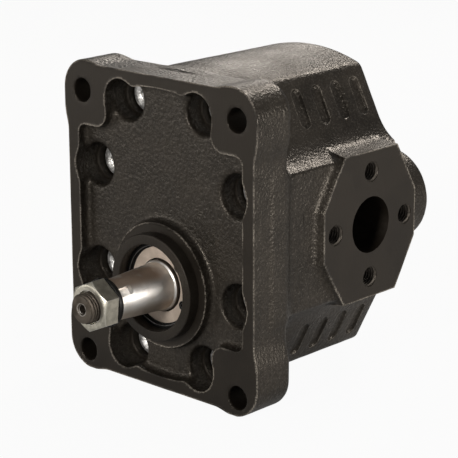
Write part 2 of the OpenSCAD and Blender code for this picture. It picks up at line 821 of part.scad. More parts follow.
module circlip() {
    ro = seal_bore_d / 2 + circlip_depth - bush_fit;
    ri = circlip_id / 2;
    ear_w = 4.6;
    color([0.2, 0.22, 0.25]) difference() {
        union() {
            difference() {
                rod_y(0, 0, circlip_y + seal_gap / 4, circlip_back_y, ro);
                rod_y(0, 0, circlip_y - past, circlip_back_y + past, ri);
            }
            for (s = [-1, 1]) rotate([0, -(ear_mid_angle + s * ear_half_angle), 0]) {
                rod_y(ear_r, 0, circlip_y + seal_gap / 4, circlip_back_y, ear_w / 2);
                translate([ear_r, circlip_y + seal_gap / 4, -ear_w / 2])
                    cube([ri + 0.5 - ear_r, circlip_t - seal_gap / 4, ear_w]);
            }
        }
        for (s = [-1, 1]) rotate([0, -(ear_mid_angle + s * ear_half_angle), 0])
            rod_y(ear_r, 0, circlip_y - past, circlip_back_y + past, ear_hole_d / 2);
        gap = ear_half_angle - 10;
        rotate([0, -ear_mid_angle, 0]) translate([0, circlip_back_y + past, 0]) rotate([90, 0, 0])
            linear_extrude(height = circlip_t + 2 * past) polygon([
                [0, 0], [2 * ro * cos(gap), 2 * ro * sin(gap)], [2 * ro * cos(gap), -2 * ro * sin(gap)]
            ]);
    }
}

// Moving bodies

module gear_body(z, turn) {
    translate([0, 0, z]) prism_y(gear_y0, gear_y1) gear_outline(turn);
}

module drive_gear_shaft() {
    sj = seal_journal_r;
    color([0.75, 0.74, 0.73]) difference() {
        union() {
            gear_body(drive_z, 0);
            turned_y() polygon([
                [0, thread_end_y], [thread_r - 0.8, thread_end_y], [thread_r, thread_end_y + 0.8],
                [thread_r, taper_end_y], [taper_end_r, taper_end_y], [taper_d / 2, taper_y],
                [sj - 0.5, shoulder_y], [sj, shoulder_y + 0.5], [sj, seal_journal_end],
                [journal_r, seal_journal_end + 0.3], [journal_r, chamber_end - end_space],
                [0, chamber_end - end_space]
            ]);
        }
        rod_y(0, 0, thread_end_y - past, thread_end_y + centre_hole_depth, centre_hole_d / 2);
        rotate([0, -keyway_angle, 0])
            translate([taper_end_r - keyway_depth, taper_end_y - past, -keyway_w / 2])
            cube([keyway_depth + 3, keyway_len + past, keyway_w]);
    }
}

module driven_gear_shaft() {
    color([0.70, 0.70, 0.70]) {
        gear_body(driven_z, 180 + 180 / teeth);
        rod_y(0, driven_z, joint_y + end_space, chamber_end - end_space, journal_r);
    }
}

module lock_washer() {
    slot = 1.6;
    color([0.12, 0.12, 0.12]) difference() {
        rod_y(0, 0, washer_y - washer_t, washer_y, washer_d / 2);
        rod_y(0, 0, washer_y - washer_t - past, washer_y + past, thread_r + thread_fit);
        translate([-slot / 2, washer_y - washer_t - past, 0]) rotate([0, 20, 0])
            cube([slot, washer_t + 2 * past, washer_d]);
    }
}

module shaft_nut() {
    corner_r = nut_af / sqrt(3);
    crest = nut_af / 2 * 0.96;
    color([0.62, 0.61, 0.56]) difference() {
        intersection() {
            translate([0, nut_y, 0]) rotate([90, 0, 0]) rotate([0, 0, nut_angle])
                cylinder(h = nut_h, r = corner_r, $fn = 6);
            turned_y() polygon([
                [0, nut_y - nut_h], [crest, nut_y - nut_h],
                [corner_r, nut_y - nut_h + (corner_r - crest) * 0.5], [corner_r, nut_y], [0, nut_y]
            ]);
        }
        rod_y(0, 0, nut_y - nut_h - past, nut_y + past, thread_r + thread_fit);
    }
}

mounting_flange();
pump_body();
cover_screws();
dowel_pins();
body_seal();
front_bearing_block();
rear_bearing_block();
drive_front_bush();
drive_rear_bush();
driven_front_bush();
driven_rear_bush();
front_balance_seal();
rear_balance_seal();
front_backup_ring();
rear_backup_ring();
shaft_seal_case();
shaft_seal_lip();
garter_spring();
dust_ring();
circlip();
drive_gear_shaft();
driven_gear_shaft();
lock_washer();
shaft_nut();
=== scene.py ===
# %% [markdown]
# A cast iron gear pump with a square mounting flange, an octagonal port pad and a tapered drive shaft.
# The exact solids come from the imported frame. Everything made here lies on them, in the same place and
# size. The frame is loaded first, and its box is kept and printed; the dressed pump's box is printed at
# the end.

# %% Load the frame
import math
import time

import bpy
import numpy as np
from mathutils import Matrix, Vector


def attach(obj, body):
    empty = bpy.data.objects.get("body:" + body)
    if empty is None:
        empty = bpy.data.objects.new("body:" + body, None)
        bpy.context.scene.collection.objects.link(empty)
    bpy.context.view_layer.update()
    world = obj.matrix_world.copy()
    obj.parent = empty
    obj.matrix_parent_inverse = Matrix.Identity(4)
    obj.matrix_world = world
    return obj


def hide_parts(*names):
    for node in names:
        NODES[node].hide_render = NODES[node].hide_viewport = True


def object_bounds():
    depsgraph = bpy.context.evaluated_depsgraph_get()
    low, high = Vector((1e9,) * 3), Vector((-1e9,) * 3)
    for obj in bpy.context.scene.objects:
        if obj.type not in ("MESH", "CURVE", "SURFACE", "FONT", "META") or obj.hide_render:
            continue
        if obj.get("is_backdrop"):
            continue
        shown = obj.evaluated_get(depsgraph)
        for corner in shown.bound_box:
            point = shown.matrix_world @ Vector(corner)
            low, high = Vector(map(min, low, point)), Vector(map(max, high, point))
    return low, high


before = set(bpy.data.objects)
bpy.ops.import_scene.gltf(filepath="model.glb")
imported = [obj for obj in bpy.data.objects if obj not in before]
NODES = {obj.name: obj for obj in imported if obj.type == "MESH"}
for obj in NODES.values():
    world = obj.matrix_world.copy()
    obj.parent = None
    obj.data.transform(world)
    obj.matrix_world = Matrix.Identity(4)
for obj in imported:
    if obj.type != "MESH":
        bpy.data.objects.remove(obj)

START = time.time()
cad_low, cad_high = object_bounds()
MM = 0.001
print("nodes", len(NODES), "box", [round(v / MM, 1) for v in (*cad_low, *cad_high)])

# %% [markdown]
# The camera looks down on the front left corner of the flange from the inlet side. Its place was found by
# fitting the flange's holes, the pilot and the port pad to their places in the photograph, so it is
# written as numbers.

# %% Camera
EYE = Vector((0.585655, -0.578760, 0.261385))
LOOK = Vector((-0.656838, 0.702482, -0.274012)).normalized()
ROLL = math.radians(-0.216)
LENS = 146.631

level = LOOK.cross(Vector((0, 0, 1))).normalized()
over = level.cross(LOOK)
right = level * math.cos(ROLL) + over * math.sin(ROLL)
up = right.cross(LOOK)
camera_data = bpy.data.cameras.new("photo_camera")
camera_data.sensor_width = 36
camera_data.lens = LENS
camera_data.clip_start = 0.05
camera = bpy.data.objects.new("photo_camera", camera_data)
bpy.context.collection.objects.link(camera)
turn = Matrix((right, up, -LOOK)).transposed().to_4x4()
turn.translation = EYE
camera.matrix_world = turn
bpy.context.scene.camera = camera
print("camera at", [round(v, 3) for v in EYE], "lens", LENS)

# %% [markdown]
# A cast part has no sharp inner corners: sand leaves every edge a little round and the skin a little
# uneven. Bevelling a finished solid breaks down where many edges meet, so the castings are described as a
# field instead, a number at every point that is negative inside the metal. Two fields are joined or cut
# with a soft corner of any radius. Later cuts are hard, as a mill or a drill would leave them. A skin of
# quads is then grown on the zero of the field, with each corner pulled to where the planes around it
# meet, so machined edges stay sharp.

# %% Fields: joining, cutting and simple outlines
def join(a, b, k):
    """Union of two fields with a fillet of about k."""
    h = np.maximum(k - np.abs(a - b), 0) / k
    return np.minimum(a, b) - h * h * k / 4


def cut(a, b, k):
    """Field a less field b, with the new edge rounded by about k."""
    return -join(-a, b, k)


def meet(a, b, k):
    """What two fields share, with the edge rounded by about k."""
    return -join(-a, -b, k)


def round_corner(u, v, r):
    """What lies below both u and v, with their corner rounded by r."""
    return np.hypot(np.maximum(u, 0), np.maximum(v, 0)) + np.minimum(np.maximum(u, v), 0) - r


def rounded_box(u, v, half_u, half_v, r):
    """Flat rectangle with round corners."""
    return round_corner(np.abs(u) - half_u + r, np.abs(v) - half_v + r, r)


SAND_DEEP, SAND_WAVE, SAND_SEED = 0.07, 11, 3


def unevenness(p, waves=7):
    """Gentle hills and hollows, as sand leaves them."""
    rng = np.random.default_rng(SAND_SEED)
    total = np.zeros(len(p))
    for _ in range(waves):
        way = rng.normal(size=3)
        way *= 2 * math.pi / (SAND_WAVE * rng.uniform(0.7, 1.6) * np.linalg.norm(way))
        total += np.sin(p @ way + rng.uniform(0, 2 * math.pi))
    return SAND_DEEP * total / waves


print("fields ready")

# %% [markdown]
# The skin is grown cell by cell on a grid. A few guesses find where the field crosses each grid edge, and
# a margin keeps them off its ends. The corner of a cell then moves to where the planes of its crossings
# meet. A slight pull keeps it near their middle where those planes are nearly one, and it may leave its
# cell by no more than the slack.

# %% Growing a skin on a field
SLOPE_REACH = 0.01
EDGE_MARGIN = 0.02
CELL_PULL, CELL_SLACK = 0.02, 0.05
LAST_NUDGE = 0.1
SLAB = 8
EDGE_GAIN = 4


def cell_numbers(ijk, side, cells):
    """The four cells round each grid edge."""
    found = []
    for du, dv in ((0, 0), (1, 0), (1, 1), (0, 1)):
        c = ijk.copy()
        c[:, side[0]] -= du
        c[:, side[1]] -= dv
        found.append(np.ravel_multi_index(tuple(c.T), cells))
    return found


def slope_of(field, p, h=SLOPE_REACH):
    """Unit direction in which the field rises."""
    g = np.stack([field(p + h * e) - field(p - h * e) for e in np.eye(3)], -1)
    return g / np.maximum(np.linalg.norm(g, axis=1, keepdims=True), 1e-9)


def crossing(field, start, one, step, fa, fb):
    """Where the field passes zero on each grid edge."""
    ta, tb = np.zeros(len(start)), np.ones(len(start))
    for _ in range(3):
        margin = EDGE_MARGIN * (tb - ta)
        t = np.clip(ta + (tb - ta) * fa / (fa - fb), ta + margin, tb - margin)
        f = field(start + (t * step)[:, None] * one)
        same = (f < 0) == (fa < 0)
        ta, fa = np.where(same, t, ta), np.where(same, f, fa)
        tb, fb = np.where(same, tb, t), np.where(same, fb, f)
    t = ta + (tb - ta) * fa / (fa - fb)
    return start + (t * step)[:, None] * one


def grow_skin(field, low, high, step):
    """Corners and quads of the closed skin of a field, in millimetres."""
    n = [int(math.ceil((b - a) / step)) + 1 for a, b in zip(low, high)]
    axes = [low[i] + step * np.arange(n[i]) for i in range(3)]
    value = np.empty(n)
    for i in range(0, n[0], SLAB):
        part = np.stack(np.meshgrid(axes[0][i:i + SLAB], axes[1], axes[2], indexing="ij"), -1)
        value[i:i + SLAB] = field(part.reshape(-1, 3)).reshape(part.shape[:3])
    inside = value < 0
    cells = [k - 1 for k in n]
    size = cells[0] * cells[1] * cells[2]
    count, moment = np.zeros(size), np.zeros((size, 12))
    quads = []
    for axis in range(3):
        one = np.eye(3, dtype=int)[axis]
        side = [k for k in range(3) if k != axis]
        first = tuple(slice(0, n[k] - one[k]) for k in range(3))
        last = tuple(slice(one[k], n[k]) for k in range(3))
        ijk = np.argwhere(inside[first] != inside[last])
        ijk = ijk[np.all([(ijk[:, k] > 0) & (ijk[:, k] < n[k] - 1) for k in side], axis=0)]
        start = np.stack([axes[k][ijk[:, k]] for k in range(3)], -1)
        point = crossing(field, start, one, step, value[tuple(ijk.T)], value[tuple((ijk + one).T)])
        a = slope_of(field, point)
        six = np.stack([a[:, i] * a[:, j] for i in range(3) for j in range(i, 3)], -1)
        row = np.concatenate([six, a * (a * point).sum(1, keepdims=True), point], 1)
        around = cell_numbers(ijk, side, cells)
        for index in around:
            np.add.at(count, index, 1)
            np.add.at(moment, index, row)
        quad = np.stack(around, -1)
        out = inside[tuple(ijk.T)]
        flip = out if axis == 1 else ~out
        quad[flip] = quad[flip][:, ::-1]
        quads.append(quad)
    used = np.flatnonzero(count)
    weight, s = count[used][:, None], moment[used]
    middle = s[:, 9:] / weight
    square = np.stack([s[:, [0, 1, 2]], s[:, [1, 3, 4]], s[:, [2, 4, 5]]], 1)
    gap = s[:, 6:9] - np.einsum("nij,nj->ni", square, middle)
    pull = CELL_PULL * weight[:, :, None] * np.eye(3)
    corner = middle + np.clip(np.linalg.solve(square + pull, gap[..., None])[..., 0], -step, step)
    cell = np.stack(np.unravel_index(used, cells), -1)
    base = np.stack([axes[k][cell[:, k]] for k in range(3)], -1)
    corner = np.clip(corner, base - CELL_SLACK * step, base + (1 + CELL_SLACK) * step)
    corner -= np.clip(field(corner), -LAST_NUDGE, LAST_NUDGE)[:, None] * slope_of(field, corner)
    new = np.full(size, -1)
    new[used] = np.arange(len(used))
    return corner, new[np.concatenate(quads)]


def sharpness(field, p, reach):
    """How much an edge stands out at each corner, from -1 in a hollow to 1 on a ridge."""
    ways = [np.array(w, float) for w in np.ndindex(3, 3, 3)]
    ways = [(w - 1) / np.linalg.norm(w - 1) for w in ways if np.linalg.norm(w - 1) > 0]
    return np.clip(sum(field(p + reach * w) for w in ways) / len(ways) / reach * EDGE_GAIN, -1, 1)


print("skin grower ready")

# %% [markdown]
# Every new piece is made a Blender object in the same short way: points in millimetres become a mesh in
# metres that lies where the real piece lies, with the object itself at the origin. It rides on the CAD
# body that carries the real piece. Two numbers are kept on the points for the finishes: edge, which is
# high on a ridge, where the colour is paled for rubbed paint and, on the painted iron, also as a painted
# edge highlight, and faced, which is 1 where a tool has cut into the casting.

# %% Making pieces
CRISP, TURNED_CRISP = 35, 30


def new_mesh(name, points, faces):
    """A mesh from points in millimetres."""
    mesh = bpy.data.meshes.new(name)
    points = np.asarray(points, float) * MM
    mesh.from_pydata(points.tolist(), [], faces if isinstance(faces, list) else faces.tolist())
    return mesh


def keep_number(mesh, key, values):
    """A number for every point of a mesh, under a name that finishes can read."""
    kept = mesh.attributes.new(key, "FLOAT", "POINT")
    kept.data.foreach_set("value", np.asarray(values, np.float32))


def seat(mesh, name, body, stands_for, crisp):
    """The finished object of a mesh, riding on a body, with edges sharp past an angle."""
    mesh.shade_smooth()
    mesh.set_sharp_from_angle(angle=math.radians(crisp))
    piece = bpy.data.objects.new(name, mesh)
    bpy.context.collection.objects.link(piece)
    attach(piece, body)
    if stands_for:
        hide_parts(*stands_for)
    print(name, len(mesh.polygons), "faces", round(time.time() - START, 1), "s")
    return piece


def new_piece(name, points, faces, finish, body, stands_for=(), crisp=CRISP, numbers=None):
    """A finished object straight from points and faces."""
    mesh = new_mesh(name, points, faces)
    mesh.validate()
    for key, values in (numbers or {}).items():
        keep_number(mesh, key, values)
    mesh.materials.append(finish)
    return seat(mesh, name, body, stands_for, crisp)


FACED_DEEP = 0.3


def skin_piece(name, field, low, high, step, finish, body, slot, stands_for=(), rough=None,
               open_field=None, reach=0.8, crisp=CRISP):
    """A piece grown on a field. What lies deep in its rough casting counts as cut by a tool.

    An edge that is hidden in a joint isn't rubbed, so a casting gives its field without that cut as well.
    """
    points, quads = grow_skin(field, low, high, step)
    numbers = {"edge": sharpness(open_field or field, points, reach)}
    if rough:
        numbers["faced"] = np.clip(-rough(points) / FACED_DEEP, 0, 1)
    return new_piece(name, points, quads, finish, body, stands_for, crisp, numbers)


def turned_piece(name, profile, finish, body, stands_for=(), around=160, faced=0.0):
    """A closed profile of radius and Y, in millimetres, turned round the drive shaft's axis."""
    profile = np.asarray(profile, float)
    angle = np.arange(around) * 2 * math.pi / around
    r, y = profile[:, 0], profile[:, 1]
    x, z = np.outer(np.cos(angle), r), np.outer(np.sin(angle), r)
    points = np.stack([x, np.tile(y, (around, 1)), z], -1)
    n = len(profile)
    area = np.sum(r * np.roll(y, -1) - np.roll(r, -1) * y)
    faces = []
    for i in range(around):
        for k in range(n):
            a, b = i * n + k, i * n + (k + 1) % n
            c, d = (i + 1) % around * n + (k + 1) % n, (i + 1) % around * n + k
            faces.append((a, b, c, d) if area > 0 else (a, d, c, b))
    numbers = {"faced": np.full(n * around, faced)}
    points = points.reshape(-1, 3)
    return new_piece(name, points, faces, finish, body, stands_for, TURNED_CRISP, numbers)


SIDE_SHARE = 0.45


def eased(profile, radius, steps=4):
    """The same closed profile with each corner rounded."""
    pts = [np.array(p, float) for p in profile]
    out = []
    for i, p in enumerate(pts):
        a, b = pts[i - 1] - p, pts[(i + 1) % len(pts)] - p
        r = min(radius, np.linalg.norm(a) * SIDE_SHARE, np.linalg.norm(b) * SIDE_SHARE)
        a, b = a / np.linalg.norm(a) * r, b / np.linalg.norm(b) * r
        for t in np.linspace(0, 1, steps + 1):
            out.append(p + a * (1 - t) ** 2 + b * t ** 2)
    return out


print("piece makers ready")

# %% [markdown]
# Finishes are built from nodes. Node trees are tedious to wire by hand, so a small class wraps an output
# socket and lets it be added, multiplied and compared as a number. One method makes any other node. What
# is the same all over a surface is set on the shader itself, and only what changes over it is wired.

# %% Node wrapper
class Wire:
    """One output of a node, which can be used in sums."""

    def __init__(self, tree, socket):
        self.tree, self.socket = tree, socket

    def math(self, kind, other, flip=False):
        node = self.tree.nodes.new("ShaderNodeMath")
        node.operation = kind
        for socket, value in zip(node.inputs, (other, self) if flip else (self, other)):
            plug(self.tree, socket, value)
        return Wire(self.tree, node.outputs[0])

    def __add__(self, other):
        return self.math("ADD", other)

    def __sub__(self, other):
        return self.math("SUBTRACT", other)

    def __rsub__(self, other):
        return self.math("SUBTRACT", other, flip=True)

    def __mul__(self, other):
        return self.math("MULTIPLY", other)

    __radd__, __rmul__ = __add__, __mul__

    def clamp(self):
        """The same number, kept from 0 to 1."""
        out = self.math("ADD", 0.0)
        out.socket.node.use_clamp = True
        return out

    def band(self, low, high):
        """0 below low, 1 above high, smooth between."""
        node = self.tree.nodes.new("ShaderNodeMapRange")
        node.interpolation_type = "SMOOTHSTEP"
        plug(self.tree, node.inputs[0], self)
        node.inputs[1].default_value = low
        node.inputs[2].default_value = high
        return Wire(self.tree, node.outputs[0])


def plug(tree, socket, value):
    """Links a wire to a socket, or writes a plain value on it."""
    if isinstance(value, Wire):
        tree.links.new(value.socket, socket)
    else:
        socket.default_value = value


class Finish:
    """A material under construction."""

    def __init__(self, name, **plain):
        self.material = bpy.data.materials.new(name)
        self.material.use_nodes = True
        self.tree = self.material.node_tree
        self.tree.nodes.clear()
        self.shader = self.tree.nodes.new("ShaderNodeBsdfPrincipled")
        out = self.tree.nodes.new("ShaderNodeOutputMaterial")
        self.tree.links.new(self.shader.outputs[0], out.inputs[0])
        for key, value in plain.items():
            self.shader.inputs[key.replace("_", " ")].default_value = value

    def node(self, kind, out=0, settings=None, **values):
        """Any node by its type, with its settings first and then its sockets."""
        made = self.tree.nodes.new("ShaderNode" + kind)
        for key, value in (settings or {}).items():
            setattr(made, key, value)
        for key, value in values.items():
            plug(self.tree, made.inputs[key], value)
        return Wire(self.tree, made.outputs[out])

    def place(self, scale=(1, 1, 1)):
        """Object coordinates in millimetres, stretched by scale."""
        made = self.tree.nodes.new("ShaderNodeVectorMath")
        made.operation = "MULTIPLY"
        plug(self.tree, made.inputs[0], self.node("TexCoord", out="Object"))
        made.inputs[1].default_value = [s / MM for s in scale]
        return Wire(self.tree, made.outputs[0])

    def noise(self, size, detail=2.0, stretch=(1, 1, 1), twist=0.0):
        """Noise from 0 to 1 whose lumps are about size millimetres."""
        where = self.place(stretch)
        return self.node("TexNoise", Vector=where, Scale=1 / size, Detail=detail, Distortion=twist)

    def mark(self, name):
        """A number kept on the piece's points."""
        return self.node("Attribute", out="Fac", settings={"attribute_name": name})

    def blend(self, amount, a, b):
        """Colour a where amount is 0, and colour b where it is 1."""
        made = self.tree.nodes.new("ShaderNodeMix")
        made.data_type = "RGBA"
        plug(self.tree, made.inputs["Factor"], amount)
        for socket, value in ((made.inputs[6], a), (made.inputs[7], b)):
            plug(self.tree, socket, value if isinstance(value, Wire) else (*value, 1.0))
        return Wire(self.tree, made.outputs[2])

    def bump(self, height, deep, under=None):
        """Relief as deep as a number of millimetres, laid over another bump."""
        made = self.tree.nodes.new("ShaderNodeBump")
        made.inputs["Distance"].default_value = deep * MM
        made.inputs["Strength"].default_value = 1.0
        plug(self.tree, made.inputs["Height"], height)
        if under:
            plug(self.tree, made.inputs["Normal"], under)
        return Wire(self.tree, made.outputs[0])

    def done(self, colour, rough, normal):
        """The material, once what changes over its surface is plugged in."""
        for key, value in (("Base Color", colour), ("Roughness", rough), ("Normal", normal)):
            plug(self.tree, self.shader.inputs[key], value)
        return self.material


print("node wrapper ready")

# %% [markdown]
# Painted cast iron is the finish that carries the picture. Under thin dark paint the sand's grain still
# shows, as small lumps that catch the lamps, and pale specks on their tips are partly rubbed paint and
# partly painted glints. Where a mill has faced the iron, the grain is gone and fine tool lines are left.
# Ridges are paler, partly as rubbed paint and partly as a painted edge highlight. The amount of each
# comes from the numbers kept on the points.

# %% Painted iron
CLOUD, LUMP, GRAIN, TOOL_LINE = 19.0, 1.45, 0.7, 0.4
LUMP_DEEP, GRAIN_DEEP, LINE_DEEP = 0.37, 0.09, 0.05
FACED_DARK = (0.006, 0.0042, 0.0028)


def painted_iron(name, dark, pale, rubbed):
    """Dark paint on sand-cast iron, mill faces, painted glints on the grain, and ridges paled as wear and
    painted highlight.
    """
    f = Finish(name, Specular_IOR_Level=0.4, Specular_Tint=(1.0, 0.90, 0.78, 1.0))
    faced, edge = f.mark("faced"), f.mark("edge")
    cast = 1.0 - faced * 0.92
    cloud = f.noise(CLOUD, detail=5.0)
    lumps = f.noise(LUMP, detail=1.5)
    grain = f.noise(GRAIN, detail=1.0)
    tips = (grain * 0.4 + lumps * 0.6).band(0.44, 0.62) * cast
    colour = f.blend(cloud.band(0.32, 0.68), dark, pale)
    # Painted glints: pale specks on the grain's tips, partly rubbed paint and partly painted glints.
    colour = f.blend(tips * 0.05 + grain.band(0.6, 0.75) * cast * 0.12, colour, rubbed)
    colour = f.blend(faced * 0.6, colour, FACED_DARK)
    # Painted edge highlight: ridges are paled, partly as rubbed paint and partly as a painted edge
    # highlight.
    worn = edge.band(0.3, 0.7) * grain.band(0.3, 0.62) * cloud.band(0.35, 0.55) * 0.75
    colour = f.blend(worn, colour, rubbed)
    lines = f.noise(TOOL_LINE, detail=1.0, stretch=(1, 1, 0.05))
    rough = 0.33 + cloud.band(0.3, 0.7) * 0.12 - tips * 0.08 + faced * 0.08 - worn * 0.06
    sand = f.bump(lumps * cast, LUMP_DEEP, under=f.bump(grain * cast, GRAIN_DEEP))
    return f.done(colour, rough, f.bump(lines, LINE_DEEP, under=sand))


# rubbed is the pale tone of rubbed paint, also laid on as painted glints and painted edge highlights.
IRON = painted_iron("painted_iron", dark=(0.0095, 0.0077, 0.0058), pale=(0.018, 0.0148, 0.0114),
                    rubbed=(0.30, 0.27, 0.23))
print(IRON.name)

# %% [markdown]
# Bare metal pieces share one recipe: a tinted metal whose gloss is broken by stains and by a fine grain.
# Rubber and plastic share another, without the metal. The ground shaft has its own: the wheel's lines run
# round it, so their noise is drawn out across the shaft. A painted brown reflection lies on its top and
# painted brown shade under it, the journal behind the shoulder has painted shade, and its threaded end
# has stayed dull.

# %% Metals and soft parts
def rubbed_edges(f):
    """1 where a ridge has been rubbed, 0 elsewhere."""
    return f.mark("edge").band(0.3, 0.8)


def bare_metal(name, low, high, rough=(0.25, 0.4), grain=0.6, depth=0.01, metal=1.0,
               worn=(0.8, 0.78, 0.74), stain=6.0):
    """Metal that varies from a low to a high colour, with paler worn edges."""
    f = Finish(name, Metallic=metal)
    cloud = f.noise(stain, detail=5.0, twist=0.4)
    fine = f.noise(grain)
    colour = f.blend(cloud.band(0.3, 0.72), low, high)
    rub = rubbed_edges(f)
    colour = f.blend(rub * 0.7, colour, worn)
    roughness = rough[0] + (rough[1] - rough[0]) * (cloud * 0.6 + fine * 0.4) - rub * 0.05
    return f.done(colour, roughness, f.bump(fine, depth))


def soft_stuff(name, low, high, rough=(0.4, 0.6), lump=1.2, depth=0.03, shine=0.5):
    """Rubber or plastic that varies from a low to a high colour."""
    f = Finish(name, Specular_IOR_Level=shine)
    cloud = f.noise(5.0, detail=4.0)
    fine = f.noise(lump, detail=3.0)
    colour = f.blend(cloud.band(0.3, 0.7), low, high)
    paler = [min(1, 1.6 * c + 0.01) for c in high]
    colour = f.blend(rubbed_edges(f) * 0.3, colour, paler)
    return f.done(colour, rough[0] + (rough[1] - rough[0]) * fine, f.bump(fine, depth))


STEEL_LOW, STEEL_HIGH, STEEL_WORN = (0.84, 0.80, 0.75), (0.94, 0.92, 0.89), (0.92, 0.90, 0.86)
TOP_REFLECTION_BROWN, SHADE_BROWN, JOURNAL_PAINTED_SHADE = (0.56, 0.37, 0.23), (0.46, 0.37, 0.28), (0.16, 0.14, 0.12)
THREAD_LOW, THREAD_HIGH = (0.075, 0.063, 0.05), (0.16, 0.138, 0.115)
THREAD_FROM, JOURNAL_FROM = (33.4, 34.2), (-0.55, -0.35)


def shaft_steel(name):
    """Ground steel, lines round it, painted reflection on top, painted shade below and on the journal,
    dull at the threaded end.
    """
    f = Finish(name, Metallic=1.0)
    cloud = f.noise(9.0)
    fine = f.noise(0.35, stretch=(0.04, 1, 0.04))
    split = f.tree.nodes.new("ShaderNodeSeparateXYZ")
    plug(f.tree, split.inputs[0], f.place())
    along, height = Wire(f.tree, split.outputs[1]), Wire(f.tree, split.outputs[2])
    ahead, depth = along * -1.0, height * -1.0
    colour = f.blend(cloud.band(0.3, 0.72), STEEL_LOW, STEEL_HIGH)
    # Painted reflection: a brown band on the shaft's top, towards its front, stands in for a warm
    # reflection.
    brown = height.band(5.0, 8.5) * ahead.band(3.0, 9.0) * cloud.band(0.3, 0.55)
    colour = f.blend(brown * 0.75, colour, TOP_REFLECTION_BROWN)
    # Painted shade: the shaft's underside is turned darker brown.
    colour = f.blend(depth.band(1.5, 6.0) * 0.75, colour, SHADE_BROWN)
    end = ahead.band(*THREAD_FROM)
    colour = f.blend(end, colour, f.blend(fine.band(0.35, 0.6), THREAD_LOW, THREAD_HIGH))
    # Painted shade: the journal behind the shoulder, where it runs into the seal, is painted dark.
    colour = f.blend(along.band(*JOURNAL_FROM), colour, JOURNAL_PAINTED_SHADE)
    rub = rubbed_edges(f)
    colour = f.blend(rub * 0.8, colour, STEEL_WORN)
    roughness = 0.36 + cloud * 0.08 + fine * 0.06 + end * 0.2 - rub * 0.05
    return f.done(colour, roughness, f.bump(fine, 0.16))


GROUND = shaft_steel("ground_steel")
NUT = bare_metal("nut_zinc", (0.46, 0.44, 0.37), (0.68, 0.65, 0.56), (0.34, 0.5),
                 depth=0.05, stain=3.0, worn=(0.9, 0.88, 0.83))
ZINC = bare_metal("zinc_screws", (0.25, 0.25, 0.245), (0.9, 0.9, 0.89), (0.3, 0.5),
                  grain=1.2, depth=0.25, stain=1.8, metal=0.75)
TAPPED = bare_metal("tapped_iron", (0.06, 0.052, 0.043), (0.11, 0.095, 0.08), (0.35, 0.5),
                    depth=0.02, stain=1.5, metal=0.7)
WASHER = bare_metal("washer_black", (0.012, 0.012, 0.012), (0.024, 0.023, 0.022), (0.35, 0.5),
                    depth=0.02, metal=0.7, worn=(0.4, 0.39, 0.37))
CLIP = bare_metal("circlip_black", (0.006, 0.006, 0.006), (0.013, 0.0125, 0.012), (0.34, 0.48),
                  depth=0.02, metal=0.85, worn=(0.22, 0.22, 0.22))
PIN = bare_metal("pin_steel", (0.5, 0.5, 0.5), (0.65, 0.65, 0.64))
ALUMINIUM = bare_metal("block_aluminium", (0.62, 0.63, 0.64), (0.75, 0.76, 0.77), (0.3, 0.45))
BRONZE = bare_metal("bush_bronze", (0.50, 0.33, 0.16), (0.62, 0.43, 0.24), (0.3, 0.45))
SPRING = bare_metal("spring_steel", (0.5, 0.5, 0.5), (0.66, 0.65, 0.64))
RUBBER = soft_stuff("seal_rubber", (0.005, 0.005, 0.005), (0.009, 0.0088, 0.0085), (0.5, 0.65),
                    shine=0.2)
BACKUP = soft_stuff("backup_plastic", (0.75, 0.74, 0.68), (0.85, 0.84, 0.79))
DUST = soft_stuff("dust_ring_plastic", (0.42, 0.35, 0.29), (0.54, 0.46, 0.39), (0.5, 0.65),
                  lump=0.8, shine=0.4)
print("finishes", len(bpy.data.materials))

# %% [markdown]
# Flange and body share one outline: a crowned top, a flank that falls away at about 63 degrees, and a
# ledge over the side bulge. It is written once, for the positive quarter, because the pump is the same
# above and below the line half way between its two gear shafts.

# %% The shared outline
MID_Z = 24.0
CROWN_TOP, CROWN_R = 75.0, 88.0
FLANK = (33.5, 65.0)
FLANK_RUN = 0.5
SIDE_X, SIDE_Z, LEDGE_SLOPE = 57.1, 33.0, 0.44
LEDGE_SOFT, SIDE_SOFT, CROWN_SOFT = 6.45, 1.5, 1.6
JOINT_Y, REAR_Y = 36.0, 107.62

flank_angle = math.atan(1 / FLANK_RUN)
ledge_angle = math.atan(LEDGE_SLOPE)


def flank_plane(ax, az):
    """Distance outside the falling flank."""
    return (ax - FLANK[0]) * math.sin(flank_angle) + (az - FLANK[1]) * math.cos(flank_angle)


def body_outline(ax, az):
    """The outline's quarter, from how far a point is to the side and above the middle."""
    ledge = (az - SIDE_Z) * math.cos(ledge_angle) + (ax - SIDE_X) * math.sin(ledge_angle)
    shape = join(flank_plane(ax, az), ledge, LEDGE_SOFT)
    shape = meet(shape, ax - SIDE_X, SIDE_SOFT)
    return meet(shape, np.hypot(ax, az + CROWN_R - CROWN_TOP) - CROWN_R, CROWN_SOFT)


print("outline: side", SIDE_X, "crown", CROWN_TOP)

# %% [markdown]
# The cover is the mounting flange and the hub behind it, one casting. First the rough casting: a plate
# with four lobes that stands proud of its face, the hub, the pocket that leaves four corner pads, and the
# flared mouths of the screw holes, all with soft corners. Then the machining, all hard: the plate is
# faced, the step ring turned, and the holes drilled and counterbored.

